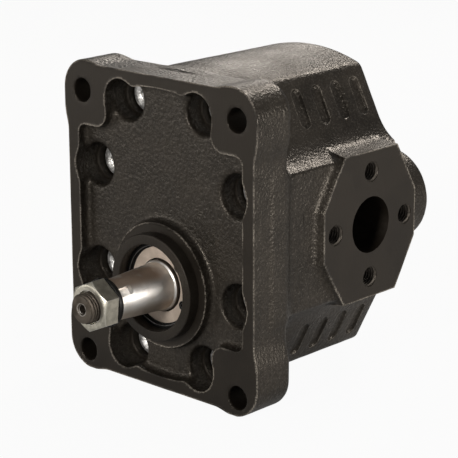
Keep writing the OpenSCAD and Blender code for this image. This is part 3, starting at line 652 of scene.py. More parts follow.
# %% The cover's rough casting
COVER_BOX = (-63, -2.5, -54), (63, 38, 102)
FLANGE_T, FLANGE_SOFT, ALLOWANCE = 23.5, 3.5, 2.2
PLATE_HALF_W, PLATE_HALF_H, PLATE_R = 59.2, 74.4, 13
LOBE_X, LOBE_Z, LOBE_HALF_W, LOBE_HALF_H, LOBE_R, LOBE_SOFT = 46.6, 57.4, 14.5, 18.5, 14.4, 3
POCKET_Y, POCKET_HALF_W, POCKET_HALF_H, POCKET_R = 5.0, 52.3, 69.3, 7
POCKET_FLOOR_SOFT, POCKET_EDGE_SOFT = 3, 2.5
RIM_X, RIM_Z, RIM_R, RIM_SOFT = 34, 9.3, 60, 2
CORNER_X, CORNER_Z, CORNER_R, CORNER_SOFT = 40.5, 52.0, 7, 5
SCREWS = ((45.0, 25.5), (24.0, 60.0))
MOUTH_R, MOUTH_Y, MOUTH_FLOOR_SOFT, MOUTH_EDGE_SOFT = 10.0, 13.5, 2, 2.5
HUB_FROM, HUB_SOFT = 15, 5
CROWN_FROM, CROWN_BLEND, CROWN_TIGHTER = 62, 8, 3.4
CROWN_LOW, CROWN_LOW_FROM, CROWN_LOW_BLEND = 0.3, 1, 6
STEP_R, STEP_Y, STEP_PROUD, STEP_FOOT_Y, STEP_SOFT = 29.8, 0.2, 0.6, 12, 3.0
SEAL_BORE_R = 20.5


def pocket_outline(ax, az):
    """The pocket's plan: a rounded box with arched ends, less the four corner pads."""
    box = rounded_box(ax, az, POCKET_HALF_W, POCKET_HALF_H, POCKET_R)
    arch = np.hypot(np.minimum(ax, RIM_X), az - RIM_Z) - RIM_R
    corner = round_corner(CORNER_X - ax, CORNER_Z - az, CORNER_R)
    return cut(meet(box, arch, RIM_SOFT), corner, CORNER_SOFT)


def cover_casting(p):
    """The cover as it leaves the sand."""
    x, y, z = p.T
    ax, az = np.abs(x), np.abs(z - MID_Z)
    plate = rounded_box(ax, az, PLATE_HALF_W, PLATE_HALF_H, PLATE_R)
    lobe = rounded_box(ax - LOBE_X, az - LOBE_Z, LOBE_HALF_W, LOBE_HALF_H, LOBE_R)
    plate = join(plate, lobe, LOBE_SOFT)
    shape = np.maximum(meet(plate, y - FLANGE_T, FLANGE_SOFT), -ALLOWANCE - y)
    hub = np.maximum(body_outline(ax, az), HUB_FROM - y)
    crown = np.clip((az - CROWN_FROM) / CROWN_BLEND, 0, 1)
    ahead = np.clip((JOINT_Y - CROWN_LOW_FROM - y) / CROWN_LOW_BLEND, 0, 1)
    shape = join(shape, hub + CROWN_LOW * crown * ahead, HUB_SOFT - CROWN_TIGHTER * crown)
    pocket = meet(pocket_outline(ax, az), y - POCKET_Y, POCKET_FLOOR_SOFT)
    shape = cut(shape, pocket, POCKET_EDGE_SOFT)
    step = np.maximum(np.hypot(x, z) - STEP_R, STEP_Y - STEP_PROUD - y)
    shape = join(shape, np.maximum(step, y - STEP_FOOT_Y), STEP_SOFT)
    for cx, cz in SCREWS:
        mouth = meet(np.hypot(ax - cx, az - cz) - MOUTH_R, y - MOUTH_Y, MOUTH_FLOOR_SOFT)
        shape = cut(shape, mouth, MOUTH_EDGE_SOFT)
    return shape + unevenness(p)


print("casting allowance", ALLOWANCE, "mm")

# %% The cover's machining
HOLES_X, HOLES_Z, HOLES_MID = 49.2, 64.1, 21.2
HOLE_R, HOLE_BEVEL = 5.5, 0.5
BORE_R, BORE_BEVEL, BEVEL_LIFT, SEAT_Y, SHANK_R = 8.7, 0.7, 0.3, 27.0, 5.15
PASSAGE_R, SEAL_BORE_Y = 13.5, 10.5
SLANT = 0.7071  # brings the field of a 45 degree cone back to millimetres
FAR = 99  # past every end of the pump


def cover_field(p, joint=JOINT_Y, drilled=True):
    """The machined cover. Without its joint and its holes it tells which edges stand free."""
    x, y, z = p.T
    ax, az = np.abs(x), np.abs(z - MID_Z)
    around = np.hypot(x, z)
    shape = np.maximum(cover_casting(p), y - joint)
    face = np.where(around < STEP_R + STEP_SOFT, STEP_Y - y, -y)
    shape = np.maximum(shape, face)
    if not drilled:
        return shape
    for cx, cz in SCREWS:
        hole = np.hypot(ax - cx, az - cz)
        bevel = (hole + y - BORE_R - MOUTH_Y - BORE_BEVEL) * SLANT
        bevel = np.maximum(bevel, MOUTH_Y - BEVEL_LIFT - y)
        shape = np.maximum(shape, -np.maximum(np.minimum(hole - BORE_R, bevel), y - SEAT_Y))
        shape = np.maximum(shape, SHANK_R - hole)
    mount = np.hypot(ax - HOLES_X, np.abs(z - HOLES_MID) - HOLES_Z)
    mount = np.minimum(mount - HOLE_R, (mount + y - HOLE_R - HOLE_BEVEL) * SLANT)
    shape = np.maximum(shape, -mount)
    shape = np.maximum(shape, -np.maximum(around - SEAL_BORE_R, y - SEAL_BORE_Y))
    return np.maximum(shape, PASSAGE_R - around)


STEP = 1.0
skin_piece("cover_skin", cover_field, *COVER_BOX, STEP, IRON, "housing", "flange_iron",
           ["mounting_flange"], cover_casting, lambda p: cover_field(p, FAR, False))

# %% [markdown]
# The pilot is the turned spigot that centres the pump on its bracket. It is the roundest, cleanest part
# of the flange, so it is turned from a profile of its own and set on the step ring.

# %% The pilot
PILOT_R, PILOT_Y, PILOT_BEVEL = 25.4, -5.8, 0.4
PILOT_FOOT_Y, PILOT_ROOT_Y, PILOT_EASE = 0.6, 7.0, 0.15
pilot = eased([
    (SEAL_BORE_R, PILOT_Y + PILOT_BEVEL), (SEAL_BORE_R + PILOT_BEVEL, PILOT_Y),
    (PILOT_R - PILOT_BEVEL, PILOT_Y), (PILOT_R, PILOT_Y + PILOT_BEVEL),
    (PILOT_R, PILOT_FOOT_Y), (PILOT_R - PILOT_BEVEL, PILOT_ROOT_Y), (SEAL_BORE_R, PILOT_ROOT_Y),
], PILOT_EASE)
turned_piece("pilot_ring", pilot, IRON, "housing", around=192, faced=0.75)

# %% [markdown]
# The body is the second casting. Octagonal bosses carry the ports on both sides and stand a little proud
# until they are milled. Four slots on each flank let the casting cool evenly, and two blank round bosses
# stand on the rear wall. Inside it has the figure-eight bore for the gears, cut hard with the ports and
# the tapped holes.

# %% The body's rough casting
BODY_BOX = (-63, 34, -54), (63, 135, 102)
PORT_Y, PAD_X = 80.0, 60.5
PAD_HALF_W, PAD_HALF_H, PAD_TOP, PAD_SIDE = 33.4, 35.5, 19.2, 11.9
PAD_DRAFT, SLANT_DRAFT, PAD_FROM_X, PAD_ALLOWANCE = 0.15, 0.04, 40, 1.5
GUTTER, GUTTER_MORE, GUTTER_BLEND = 1.4, 4.2, 9
SLOT_FIRST, SLOT_PITCH, SLOT_HALF, SLOT_R, SLOT_DEEP = 55.5, 13.9, 6.25, 3.0, 1.15
SLOT_AT, SLOT_COUNT, SLOT_FLOOR_SOFT, SLOT_EDGE_SOFT = (38.1, 55.8), 4, 1.0, 0.8
REAR_ROUND, REAR_SOFT = 9.0, 2.5
BOSS_X, BOSS_R, BOSS_FROM, BOSS_END, BOSS_EDGE_SOFT, BOSS_SOFT = 30.4, 23.1, 95, 133.12, 1.5, 3


def octagon(y, az, depth):
    """Plan of a port pad, which widens a little with its depth below the face."""
    v = np.abs(y - PORT_Y)
    dv, dz = PAD_HALF_W - PAD_TOP, PAD_HALF_H - PAD_SIDE
    slant = ((v - PAD_TOP) * dz + (az - PAD_HALF_H) * dv) / math.hypot(dv, dz)
    square = np.maximum(v - PAD_HALF_W, az - PAD_HALF_H - PAD_DRAFT * depth)
    return np.maximum(square, slant - SLANT_DRAFT * depth)


def flank_slots(ax, az, y):
    """The slots of one flank, with round ends."""
    along = (ax - SLOT_AT[0]) * math.cos(flank_angle) - (az - SLOT_AT[1]) * math.sin(flank_angle)
    nearest = np.clip(np.round((y - SLOT_FIRST) / SLOT_PITCH), 0, SLOT_COUNT - 1)
    across = y - SLOT_FIRST - nearest * SLOT_PITCH
    shape = np.hypot(np.maximum(np.abs(along) - SLOT_HALF, 0), across) - SLOT_R
    return meet(shape, -SLOT_DEEP - flank_plane(ax, az), SLOT_FLOOR_SOFT)


def body_casting(p):
    """The body as it leaves the sand."""
    x, y, z = p.T
    ax, az = np.abs(x), np.abs(z - MID_Z)
    shape = meet(body_outline(ax, az), y - REAR_Y, REAR_SOFT)
    corner = round_corner(ax - SIDE_X + REAR_ROUND, y - REAR_Y + REAR_ROUND, REAR_ROUND)
    shape = np.maximum(shape, corner)
    boss = np.maximum(octagon(y, az, np.maximum(PAD_X - ax, 0)), PAD_FROM_X - ax)
    gutter = GUTTER + GUTTER_MORE * np.clip((PAD_HALF_H - az) / GUTTER_BLEND, 0, 1)
    shape = join(shape, np.maximum(boss, ax - PAD_X - PAD_ALLOWANCE), gutter)
    rear = meet(np.hypot(ax - BOSS_X, az) - BOSS_R, y - BOSS_END, BOSS_EDGE_SOFT)
    shape = join(shape, np.maximum(rear, BOSS_FROM - y), BOSS_SOFT)
    shape = cut(shape, flank_slots(ax, az, y), SLOT_EDGE_SOFT)
    return shape + unevenness(p)


print("slots on each flank", SLOT_COUNT, "rear bosses at", BOSS_X)

# %% The body's machining
GEAR_BORE_R, GEAR_Z, CHAMBER_END = 28.08, 48.0, 95.12
GALLERY_R, GALLERY_Y, GALLERY_FROM_X, GALLERY_LAP = 11.0, 64.06, 12, 1
INLET, OUTLET = (13.5, 25.5, 5.0), (10.0, 20.0, 4.0)
BORE_DEEP, TAP_DEEP = 26.0, 18.0


def body_field(p, joint=JOINT_Y, drilled=True):
    """The machined body. Without its joint and its holes it tells which edges stand free."""
    x, y, z = p.T
    ax = np.abs(x)
    shape = np.maximum(body_casting(p), joint - y)
    shape = np.maximum(shape, ax - PAD_X)
    if not drilled:
        return shape
    gears = np.minimum(np.hypot(x, z), np.hypot(x, z - GEAR_Z)) - GEAR_BORE_R
    shape = np.maximum(shape, -np.maximum(gears, y - CHAMBER_END))
    port, circle, tap = (np.where(x > 0, i, o) for i, o in zip(INLET, OUTLET))
    py, pz = np.abs(y - PORT_Y), np.abs(z - MID_Z)
    shape = np.maximum(shape, -np.maximum(np.hypot(py, pz) - port, PAD_X - BORE_DEEP - ax))
    inner = np.hypot(np.clip(y, GALLERY_Y, PORT_Y) - y, pz) - GALLERY_R
    inner = np.maximum(inner, ax - PAD_X + BORE_DEEP - GALLERY_LAP)
    shape = np.maximum(shape, -np.maximum(inner, GALLERY_FROM_X - ax))
    taps = np.minimum(np.hypot(py - circle, pz), np.hypot(py, pz - circle)) - tap
    return np.maximum(shape, -np.maximum(taps, PAD_X - TAP_DEEP - ax))


skin_piece("body_skin", body_field, *BODY_BOX, STEP * 1.1, IRON, "housing", "body_iron",
           ["pump_body"], body_casting, lambda p: body_field(p, -FAR, False))

# %% [markdown]
# The tapped holes show their threads. A thread is a groove that winds down the wall, so it is a sheet of
# points whose radius follows the turn and the depth. One lining is made for each size, and geometry nodes
# copy it to its four places on the pad, which keeps the pattern right if the bolt circle changes.

# %% Copying a form to places
def copy_tree():
    """Copies a form to each point, as real faces with one material."""
    tree = bpy.data.node_groups.new("copies_at_points", "GeometryNodeTree")
    face = tree.interface
    face.new_socket("Geometry", in_out="INPUT", socket_type="NodeSocketGeometry")
    face.new_socket("Form", in_out="INPUT", socket_type="NodeSocketObject")
    face.new_socket("Size", in_out="INPUT", socket_type="NodeSocketFloat").default_value = 1.0
    face.new_socket("Finish", in_out="INPUT", socket_type="NodeSocketMaterial")
    face.new_socket("Geometry", in_out="OUTPUT", socket_type="NodeSocketGeometry")
    make = tree.nodes.new
    came, went = make("NodeGroupInput"), make("NodeGroupOutput")
    info, copies = make("GeometryNodeObjectInfo"), make("GeometryNodeInstanceOnPoints")
    real, paint = make("GeometryNodeRealizeInstances"), make("GeometryNodeSetMaterial")
    link = tree.links.new
    link(came.outputs["Geometry"], copies.inputs["Points"])
    link(came.outputs["Form"], info.inputs["Object"])
    link(info.outputs["Geometry"], copies.inputs["Instance"])
    link(came.outputs["Size"], copies.inputs["Scale"])
    link(copies.outputs[0], real.inputs[0])
    link(real.outputs[0], paint.inputs["Geometry"])
    link(came.outputs["Finish"], paint.inputs["Material"])
    link(paint.outputs[0], went.inputs[0])
    return tree


COPIES = copy_tree()


def copies_at(name, places, points, faces, finish, body, stands_for=(), numbers=None):
    """One plain mesh of a form, in millimetres round its own zero, repeated at places."""
    form_mesh = new_mesh(name + "_form", points, faces)
    for key, values in (numbers or {}).items():
        keep_number(form_mesh, key, values)
    form = bpy.data.objects.new(name + "_form", form_mesh)
    holder = bpy.data.objects.new(name + "_holder", new_mesh(name + "_dots", places, []))
    for thing in (form, holder):
        bpy.context.collection.objects.link(thing)
    change = holder.modifiers.new("copies", "NODES")
    change.node_group = COPIES
    sockets = {s.name: s.identifier for s in COPIES.interface.items_tree if s.in_out == "INPUT"}
    change[sockets["Form"]] = form
    change[sockets["Size"]] = 1.0
    change[sockets["Finish"]] = finish
    graph = bpy.context.evaluated_depsgraph_get()
    mesh = bpy.data.meshes.new_from_object(holder.evaluated_get(graph))
    for thing in (form, holder):
        bpy.data.objects.remove(thing)
    mesh.name = name
    return seat(mesh, name, body, stands_for, CRISP)


print("copy tree inputs", [s.name for s in COPIES.interface.items_tree])

# %% Thread linings
CREST_WIDTH, THREAD_FLANK = 1.35, 3.4
ROWS_A_TURN = 8
INLET_PITCH, OUTLET_PITCH, THREAD_SHARE = 1.5, 1.25, 0.62
LINING_SUNK, LINING_OFF, LINING_WALL = 0.15, 0.02, 0.3


def winding(axial, angle, pitch):
    """Height of a thread's profile, 0 in the groove and 1 on the crest."""
    phase = (axial / pitch - angle / (2 * math.pi)) % 1.0
    return np.clip(CREST_WIDTH - np.abs(phase - 0.5) * THREAD_FLANK, 0, 1)


def wrapped_quads(rows, around, inward):
    """The quads of a grid of points that closes on itself both ways."""
    i, j = np.meshgrid(np.arange(rows), np.arange(around), indexing="ij")
    i2, j2 = (i + 1) % rows, (j + 1) % around
    ring = [i * around + j, i2 * around + j, i2 * around + j2, i * around + j2]
    if not inward:
        ring = [ring[k] for k in (0, 3, 2, 1)]
    return np.stack(ring, -1).reshape(-1, 4)


def thread_tube(length, pitch, wall_r, crest_r, backing_r, around=40, lead=1.0):
    """A threaded tube along X from 0 to -length, with its back wall, as points and quads."""
    rows = int(length / pitch * ROWS_A_TURN)
    angle = np.arange(around) * 2 * math.pi / around
    axial = -np.linspace(0, length, rows + 1)
    a, s = np.meshgrid(angle, axial)
    fade = np.clip(-s / lead, 0, 1)
    r = wall_r + (crest_r - wall_r) * winding(s, a, pitch) * fade
    inner = np.stack([s, r * np.cos(a), r * np.sin(a)], -1)
    outer = np.stack([s, backing_r * np.cos(a), backing_r * np.sin(a)], -1)[::-1][[0, -1]]
    grid = np.concatenate([inner, outer])
    return grid.reshape(-1, 3), wrapped_quads(len(grid), around, True)


def tapped_holes(name, side, port, pitch):
    """The thread linings of one port's four holes."""
    circle_r, tap_r = port[1:]
    crest_r = tap_r - THREAD_SHARE * pitch
    tube, quads = thread_tube(TAP_DEEP - 2, pitch, tap_r - LINING_OFF, crest_r, tap_r + LINING_WALL)
    if side < 0:
        tube = tube * [-1, -1, 1]
    places = [(side * (PAD_X - LINING_SUNK), PORT_Y + dy * circle_r, MID_Z + dz * circle_r)
              for dy, dz in ((1, 0), (0, 1), (-1, 0), (0, -1))]
    copies_at(name, places, tube, quads, TAPPED, "housing")


tapped_holes("inlet_threads", 1, INLET, INLET_PITCH)
tapped_holes("outlet_threads", -1, OUTLET, OUTLET_PITCH)

# %% [markdown]
# Eight socket head screws hold the cover to the body, deep in their counterbores. Only a bright rim shows
# in each hole, so the head has its rounded rim, its six-sided socket and a plain shank, grown once and
# copied eight times.

# %% Cover screws
SCREW_BOX = (-10, -2, -10), (10, 44, 10)
HEAD_R, HEAD_H, HEAD_SOFT, SCREW_R, SCREW_TOP, SCREW_LEN = 8.0, 10.0, 1.0, 5.0, 17.0, 32.0
SOCKET_HALF, SOCKET_DEEP, DISH_DEEP, DISH_SLOPE, DISH_SCALE = 4.0, 5, 1.0, 0.5, 0.9
SIXTH_COS, SIXTH_SIN = 0.866, 0.5


def screw_field(p):
    """A socket head screw along Y, with its head's top at 0."""
    x, y, z = p.T
    around = np.hypot(x, z)
    head = meet(around - HEAD_R, np.maximum(-y, y - HEAD_H), HEAD_SOFT)
    six = np.maximum(np.abs(z), np.abs(x) * SIXTH_COS + np.abs(z) * SIXTH_SIN) - SOCKET_HALF
    dish = ((around - SOCKET_HALF) * DISH_SLOPE + y - DISH_DEEP) * DISH_SCALE
    head = np.maximum(head, -np.maximum(np.minimum(six, dish), y - SOCKET_DEEP))
    shank = np.maximum(around - SCREW_R, np.maximum(HEAD_H - 1 - y, y - HEAD_H - SCREW_LEN))
    return np.minimum(head, shank)


screw_step = 0.7
head_points, head_quads = grow_skin(screw_field, *SCREW_BOX, screw_step)
seats = [(sx * x, SCREW_TOP, MID_Z + sz * z) for x, z in SCREWS for sx in (1, -1) for sz in (1, -1)]
copies_at("cover_screw_heads", seats, head_points, head_quads, ZINC, "housing",
          ["cover_screws"], {"edge": sharpness(screw_field, head_points, 0.6)})

# %% [markdown]
# The drive shaft is ground steel: a seal journal, a 1 in 8 taper with a short keyway, and a threaded end
# with a centre hole. It is grown from a field in one piece, with the keyway as a hard cut, and its gear
# is made apart.

# %% The drive shaft
SHAFT_BOX = (-14, -51, -14), (14, 96, 14)
SEAL_R, SHOULDER_Y, TAPER_R, TAPER_LEN = 12.1, -0.9, 11.3, 31.4
TAPER_Y = SHOULDER_Y - 0.7
TAPER_END_Y = TAPER_Y - TAPER_LEN
TAPER_END_R = TAPER_R - TAPER_LEN / 16
THREAD_R, THREAD_END_Y = 7.0, TAPER_END_Y - 15.9
KEY_ANGLE, KEY_HALF, KEY_LEN, KEY_DEEP = math.radians(36), 2.0, 8.0, 1.8
JOURNAL_R, JOURNAL_Y, SHAFT_END_Y = 12.5, 15, 94.12
RIM_BEVEL, RIM_EASE, TAPER_EASE, JOURNAL_EASE = 0.5, 0.1, 0.4, 0.8
CORE_UNDER, CORE_BACK, CORE_LAP = 0.9, 0.3, 1
CENTRE_R, CENTRE_DEEP, CENTRE_CONE = 2.1, 6, 3.1
TAPER_SLANT = 0.998
OVERLAP = 0.2


def shaft_field(p):
    """The ground shaft, from its threaded end to its rear journal."""
    x, y, z = p.T
    around = np.hypot(x, z)
    taper = (around - TAPER_END_R - (y - TAPER_END_Y) / 16) * TAPER_SLANT
    taper = np.maximum(meet(taper, TAPER_END_Y - y, TAPER_EASE), y - SHOULDER_Y)
    rim = np.maximum(around - SEAL_R, SHOULDER_Y - y)
    rim = meet(rim, (around - y - SEAL_R + SHOULDER_Y + RIM_BEVEL) * SLANT, RIM_EASE)
    rim = np.maximum(rim, y - JOURNAL_Y)
    journal = np.maximum(around - JOURNAL_R, JOURNAL_Y - OVERLAP - y)
    journal = meet(journal, y - SHAFT_END_Y, JOURNAL_EASE)
    shape = np.minimum(np.minimum(taper, rim), journal)
    u = x * math.cos(KEY_ANGLE) + z * math.sin(KEY_ANGLE)
    v = z * math.cos(KEY_ANGLE) - x * math.sin(KEY_ANGLE)
    key = np.maximum(np.abs(v) - KEY_HALF, TAPER_END_R - KEY_DEEP - u)
    shape = np.maximum(shape, -np.maximum(key, y - TAPER_END_Y - KEY_LEN))
    core = np.maximum(THREAD_END_Y + CORE_BACK - y, y - TAPER_END_Y - CORE_LAP)
    shape = np.minimum(shape, np.maximum(around - THREAD_R + CORE_UNDER, core))
    hole = np.maximum(around - CENTRE_R, y - THREAD_END_Y - CENTRE_DEEP)
    hole = np.minimum(hole, (around + y - THREAD_END_Y - CENTRE_CONE) * SLANT)
    return np.maximum(shape, -hole)


shaft_step = 0.6
skin_piece("drive_shaft", shaft_field, *SHAFT_BOX, shaft_step, GROUND, "drive", "ground_steel",
           ["drive_gear_shaft"], reach=0.35, crisp=30)

# %% The thread on the shaft's end
THREAD_LEN, THREAD_PITCH, THREAD_DEEP, THREAD_WALL, THREAD_BEVEL = 15.6, 1.5, 0.85, 3.5, 0.9
THREAD_GAP = 0.1


def outer_thread(length, pitch, core_r, crest_r, inner_r, around=72):
    """A thread on a bar, from Y 0 to -length, closed at its ends, as points and quads."""
    rows = int(length / pitch * ROWS_A_TURN)
    angle = np.arange(around) * 2 * math.pi / around
    axial = np.linspace(0, length, rows + 1)
    a, s = np.meshgrid(angle, axial)
    limit = crest_r - np.maximum(0, s - length + THREAD_BEVEL)
    r = np.minimum(core_r + (crest_r - core_r) * winding(s, a, pitch), limit)
    skin = np.stack([r * np.cos(a), -s, r * np.sin(a)], -1)
    ends = np.stack([inner_r * np.cos(a), -s, inner_r * np.sin(a)], -1)[[-1, 0]]
    grid = np.concatenate([skin, ends])
    return grid.reshape(-1, 3), wrapped_quads(len(grid), around, False)


bar, bar_quads = outer_thread(THREAD_LEN, THREAD_PITCH, THREAD_R - THREAD_DEEP, THREAD_R,
                              THREAD_R - THREAD_WALL)
bar[:, 1] += TAPER_END_Y - THREAD_GAP
new_piece("shaft_thread", bar, bar_quads, GROUND, "drive", crisp=50)

# %% [markdown]
# The gear on the drive shaft has twelve teeth whose flanks are involutes, the curve that the end of a
# taut string draws as it unwinds from a circle. Its outline is worked out point by point and stretched to
# the gear's width.

# %% The drive gear
TEETH, MODULE, PRESSURE, PLAY = 12, 4.0, math.radians(27), 0.24
GEAR_EDGE, EDGE_SHARE, ROOT_WIDER, ROOT_SHARE = 0.3, 0.985, 1.25, 1.25
GEAR_Y0, GEAR_Y1 = 53.06, 78.06
PITCH_R = TEETH * MODULE / 2
BASE_R, TIP_R, ROOT_R = PITCH_R * math.cos(PRESSURE), PITCH_R + MODULE, PITCH_R - ROOT_SHARE * MODULE
FLANK_POINTS = 7


def half_tooth(r):
    """Half of a tooth's angle at a radius."""
    def spread(q):
        a = math.acos(min(1, BASE_R / q))
        return math.tan(a) - a
    return (math.pi * MODULE / 2 - PLAY) / (2 * PITCH_R) + spread(PITCH_R) - spread(max(r, BASE_R))


def gear_outline():
    """X and Z of every point round the gear."""
    side = [(r, half_tooth(r)) for r in np.linspace(BASE_R, TIP_R, FLANK_POINTS)]
    tooth = [(ROOT_R, half_tooth(BASE_R) * ROOT_WIDER)] + side
    tooth = [(r, -a) for r, a in tooth] + [(r, a) for r, a in tooth[::-1]]
    return [(r * math.sin(a + k * 2 * math.pi / TEETH), r * math.cos(a + k * 2 * math.pi / TEETH))
            for k in range(TEETH) for r, a in tooth]


outline = np.array(gear_outline())
n = len(outline)
gear_points = []
rings = ((GEAR_Y0, EDGE_SHARE), (GEAR_Y0 + GEAR_EDGE, 1), (GEAR_Y1 - GEAR_EDGE, 1), (GEAR_Y1, EDGE_SHARE))
for y, share in rings:
    gear_points += [(x * share, y, z * share) for x, z in outline]
gear_faces = [tuple(range(n)), tuple(range(3 * n, 4 * n))[::-1]]
for k in range(0, 3 * n, n):
    gear_faces += [(k + i, k + n + i, k + n + (i + 1) % n, k + (i + 1) % n) for i in range(n)]
new_piece("drive_gear", gear_points, gear_faces, GROUND, "drive", crisp=25)

# %% [markdown]
# The nut is a forged hexagon with a domed chamfer that leaves a round bright face. It is dull zinc, with
# pale rubbed corners. Behind it a black spring washer is split and slightly twisted, so that its ends
# bite.

# %% The nut
NUT_BOX = (-14, -46, -14), (14, -34, 14)
NUT_HALF, NUT_Y0, NUT_Y1, NUT_ANGLE = 10.5, -44.25, -35.75, math.radians(24.5)
NUT_EASE, CONE_SHARE, CONE_EASE = 0.3, 0.96, 0.25
NUT_PLAY, NUT_MOUTH, MOUTH_DEEP = 0.05, 0.9, 2


def nut_field(p):
    """A hexagon nut along Y, chamfered on the side that shows."""
    x, y, z = p.T
    around = np.hypot(x, z)
    angle = np.arctan2(z, x) - NUT_ANGLE - math.pi / 6
    sector = (angle + math.pi / 6) % (math.pi / 3) - math.pi / 6
    flat = around * np.cos(sector) - NUT_HALF
    shape = meet(flat, np.abs(y - (NUT_Y0 + NUT_Y1) / 2) - (NUT_Y1 - NUT_Y0) / 2, NUT_EASE)
    cone = (around - NUT_HALF * CONE_SHARE) * SIXTH_SIN - (y - NUT_Y0) * SIXTH_COS
    shape = meet(shape, cone, CONE_EASE)
    mouth = np.maximum(around - THREAD_R - NUT_MOUTH, y - NUT_Y0 - MOUTH_DEEP)
    return np.maximum(shape, -np.minimum(around - THREAD_R - NUT_PLAY, mouth))


nut_step = 0.35
skin_piece("nut_forged", nut_field, *NUT_BOX, nut_step, NUT, "drive", "nut_steel", ["shaft_nut"],
           reach=0.4, crisp=28)

# %% The spring washer
WASHER_OUT, WASHER_IN, WASHER_FRONT, WASHER_T = 11.3, 7.1, -35.6, 2.3
WASHER_GAP, GAP_AT = math.radians(9), math.radians(100)
WASHER_TWIST, WASHER_EASE = 0.12, 0.4


def washer_rings(steps=96):
    """Points and faces of a split ring, whose section climbs a little on its way round."""
    section = [(WASHER_IN, 0), (WASHER_OUT, 0), (WASHER_OUT, WASHER_T), (WASHER_IN, WASHER_T)]
    section = eased(section, WASHER_EASE, 3)
    points, n = [], len(section)
    for i in range(steps + 1):
        t = i / steps
        a = GAP_AT + WASHER_GAP / 2 + t * (2 * math.pi - WASHER_GAP)
        lift = WASHER_TWIST * t
        points += [(r * math.cos(a), WASHER_FRONT + lift + y, r * math.sin(a)) for r, y in section]
    faces = [tuple(range(n)), tuple(range(steps * n, (steps + 1) * n))[::-1]]
    for k in range(0, steps * n, n):
        faces += [(k + n + i, k + n + (i + 1) % n, k + (i + 1) % n, k + i) for i in range(n)]
    return points, faces


ring_points, ring_faces = washer_rings()
new_piece("spring_washer", ring_points, ring_faces, WASHER, "drive",
          ["lock_washer"], crisp=40)

# %% [markdown]
# Round the shaft sits the seal: a black case pressed into the bore, a tan ring that keeps dust off the
# lip, and a circlip in a groove in front of them. The circlip's two ears have small holes for the pliers
# that spread it.

# %% Seal case, dust ring and circlip
CASE_IN, CASE_WALL_IN, CASE_OUT, LIP_BACK_Y, CASE_BACK_Y = 18.3, 18.87, 20.47, 3.15, 9.05
DUST_IN, DUST_OUT, DUST_BACK_Y, SEAL_Y = 12.7, 18.2, 3.05, 1.05
CASE_EASE, DUST_EASE = 0.25, 0.3
case = eased([(CASE_IN, SEAL_Y), (CASE_OUT, SEAL_Y), (CASE_OUT, CASE_BACK_Y),
              (CASE_WALL_IN, CASE_BACK_Y), (CASE_WALL_IN, LIP_BACK_Y), (CASE_IN, LIP_BACK_Y)], CASE_EASE)
turned_piece("seal_case", case, RUBBER, "housing", ["shaft_seal_case"])
dust = eased([(DUST_IN, SEAL_Y), (DUST_OUT, SEAL_Y), (DUST_OUT, DUST_BACK_Y), (DUST_IN, DUST_BACK_Y)],
             DUST_EASE)
turned_piece("tan_dust_ring", dust, DUST, "housing", ["dust_ring"])

CLIP_BOX = (-24, -3, -24), (24, 2, 24)
CLIP_Y0, CLIP_Y1, CLIP_IN, CLIP_OUT, CLIP_EASE = -0.775, 0.95, 18.9, 21.55, 0.25
EAR_R, EAR_HALF, EAR_HOLE_R, EAR_ROOT, EAR_SOFT = 17.0, 2.3, 1.0, 0.5, 0.8
EAR_MID, EAR_SPREAD, CLIP_OPEN = math.radians(9.5), math.radians(31.5), math.radians(21.5)


def clip_field(p):
    """An open ring whose two ears point inwards."""
    x, y, z = p.T
    around = np.hypot(x, z)
    angle = (np.arctan2(z, x) - EAR_MID + math.pi) % (2 * math.pi) - math.pi
    shape = np.abs(around - (CLIP_IN + CLIP_OUT) / 2) - (CLIP_OUT - CLIP_IN) / 2
    from_ear = np.abs(angle) - EAR_SPREAD
    u, v = around * np.cos(from_ear), around * np.sin(from_ear)
    shape = np.maximum(shape, (CLIP_OPEN - np.abs(angle)) * around)
    ear = np.hypot(u - np.clip(u, EAR_R, CLIP_IN + EAR_ROOT), v) - EAR_HALF
    shape = join(shape, np.maximum(ear, u - CLIP_IN - EAR_ROOT), EAR_SOFT)
    shape = np.maximum(shape, EAR_HOLE_R - np.hypot(u - EAR_R, v))
    return meet(shape, np.abs(y - (CLIP_Y0 + CLIP_Y1) / 2) - (CLIP_Y1 - CLIP_Y0) / 2, CLIP_EASE)


clip_step = 0.4
skin_piece("circlip_ring", clip_field, *CLIP_BOX, clip_step, CLIP, "housing", "circlip_steel",
           ["circlip"], reach=0.3)

# %% [markdown]
# What is sealed inside keeps its exact solid and gets its finish. The pieces are listed with the finish
# that the real ones have, so that a cut or an opened pump looks right too.

# %% Inner pieces
INNER = {
    "dowel_pins": PIN,
    "body_seal": RUBBER,
    "front_bearing_block": ALUMINIUM,
    "rear_bearing_block": ALUMINIUM,
    "drive_front_bush": BRONZE,
    "drive_rear_bush": BRONZE,
    "driven_front_bush": BRONZE,
    "driven_rear_bush": BRONZE,
    "front_balance_seal": RUBBER,
    "rear_balance_seal": RUBBER,
    "front_backup_ring": BACKUP,
    "rear_backup_ring": BACKUP,
    "shaft_seal_lip": RUBBER,
    "garter_spring": SPRING,
    "driven_gear_shaft": GROUND,
}
for name, finish in INNER.items():
    NODES[name].data.materials.clear()
    NODES[name].data.materials.append(finish)
print("inner pieces", len(INNER))

# %% [markdown]
# The stage is a pale floor under plain soft light. The photograph's background is white, so the floor and
# the world turn white for the camera, at strength 1, and the light that falls on the pump stays at a
# plain level. Reflections see only a share of that white, because a bright room would lie like a veil on
# the dark paint. Dark iron shows little colour of its own, so small soft lamps draw its form and its
# grain: one beside the port, two low and high behind, one in front and a fill for the flange. A wide weak
# one hangs above.

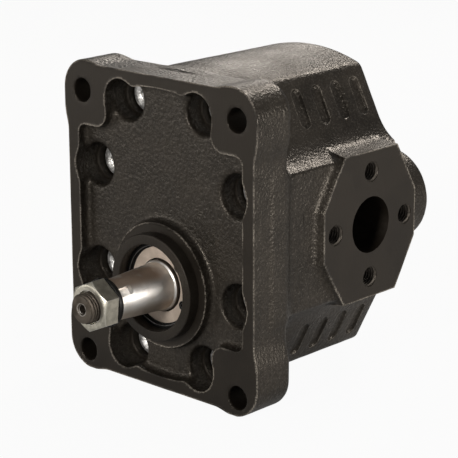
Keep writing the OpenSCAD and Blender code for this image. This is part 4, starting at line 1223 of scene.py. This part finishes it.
# %% Floor and world
FLOOR_Z, FLOOR_HALF = cad_low.z, 6.0
ROOM_TINT, ROOM_LEVEL, ROOM_GLOSS = (0.95, 0.97, 1.0, 1), 0.08, 0.1
CHALK_GREY, FLOOR_GLOSS, FLOOR_CLEAR = (0.5, 0.5, 0.5, 1), 0.2, 0.95
WHITE = (1, 1, 1, 1)


def stage_white(tree, plain, white, gloss, factor=1.0):
    """A shader that the camera sees as white, and reflections as gloss times that."""
    path = tree.nodes.new("ShaderNodeLightPath")
    seen = Wire(tree, path.outputs["Is Camera Ray"]) + Wire(tree, path.outputs["Is Glossy Ray"]) * gloss
    seen = (seen + Wire(tree, path.outputs["Is Transmission Ray"])).clamp() * factor
    mix = tree.nodes.new("ShaderNodeMixShader")
    plug(tree, mix.inputs[0], seen)
    tree.links.new(plain.outputs[0], mix.inputs[1])
    tree.links.new(white.outputs[0], mix.inputs[2])
    return mix


world = bpy.data.worlds.new("studio")
bpy.context.scene.world = world
world.use_nodes = True
sky = world.node_tree
sky.nodes.clear()
room, white = sky.nodes.new("ShaderNodeBackground"), sky.nodes.new("ShaderNodeBackground")
room.inputs[0].default_value = ROOM_TINT
room.inputs[1].default_value = ROOM_LEVEL
white.inputs[0].default_value = WHITE
end = sky.nodes.new("ShaderNodeOutputWorld")
sky.links.new(stage_white(sky, room, white, ROOM_GLOSS).outputs[0], end.inputs[0])

floor_mat = bpy.data.materials.new("pale_floor")
floor_mat.use_nodes = True
ground = floor_mat.node_tree
ground.nodes.clear()
chalk, glow = ground.nodes.new("ShaderNodeBsdfDiffuse"), ground.nodes.new("ShaderNodeEmission")
chalk.inputs[0].default_value = CHALK_GREY
glow.inputs[0].default_value = WHITE
end = ground.nodes.new("ShaderNodeOutputMaterial")
shade = stage_white(ground, chalk, glow, FLOOR_GLOSS, FLOOR_CLEAR)
ground.links.new(shade.outputs[0], end.inputs[0])

floor_mesh = bpy.data.meshes.new("floor")
corners = [(sx * FLOOR_HALF, sy * FLOOR_HALF, FLOOR_Z) for sx, sy in ((-1, -1), (1, -1), (1, 1), (-1, 1))]
floor_mesh.from_pydata(corners, [], [(0, 1, 2, 3)])
floor_mesh.materials.append(floor_mat)
floor_piece = bpy.data.objects.new("floor", floor_mesh)
bpy.context.collection.objects.link(floor_piece)
floor_piece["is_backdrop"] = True
print("floor at", round(FLOOR_Z / MM, 1), "mm")

# %% Lamps
WARM, WARMER, PLAIN = (1, 0.96, 0.91), (1, 0.92, 0.83), (1, 1, 1)
AIM = Vector((0, 0.04, 0.024))
LAMPS = (
    ("right_box", (0.92, 0.27, 0.1), (0.28, 0.22), 5.0, WARM),
    ("back_low_box", (-0.64, 0.84, 0.50), (0.26, 0.24), 1.3, WARMER),
    ("back_high_box", (-0.14, 0.86, 0.80), (0.26, 0.24), 4.4, WARMER),
    ("top_box", (-0.2, 0.1, 0.95), (0.6, 0.6), 0.4, PLAIN),
    ("front_box", (0.25, -1.1, 0.4), (0.22, 0.2), 8.0, WARM),
    ("front_fill", (-0.78, -0.82, 0.1), (0.4, 0.25), 1.5, WARM),
)


def soft_lamp(name, at, size, watts, colour):
    """A soft box that looks at the middle of the pump."""
    data = bpy.data.lights.new(name, "AREA")
    data.shape = "RECTANGLE"
    data.size, data.size_y = size
    data.energy = watts
    data.color = colour
    lamp = bpy.data.objects.new(name, data)
    bpy.context.collection.objects.link(lamp)
    lamp.location = at
    lamp.rotation_euler = (AIM - Vector(at)).to_track_quat("-Z", "Y").to_euler()


for lamp in LAMPS:
    soft_lamp(*lamp)
bpy.context.scene.view_settings.view_transform = "Standard"
print("lamps", len(LAMPS))

# %% Finish
low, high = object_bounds()
print("dressed box", [round(v / MM, 1) for v in (*low, *high)], "in", round(time.time() - START, 1), "s")
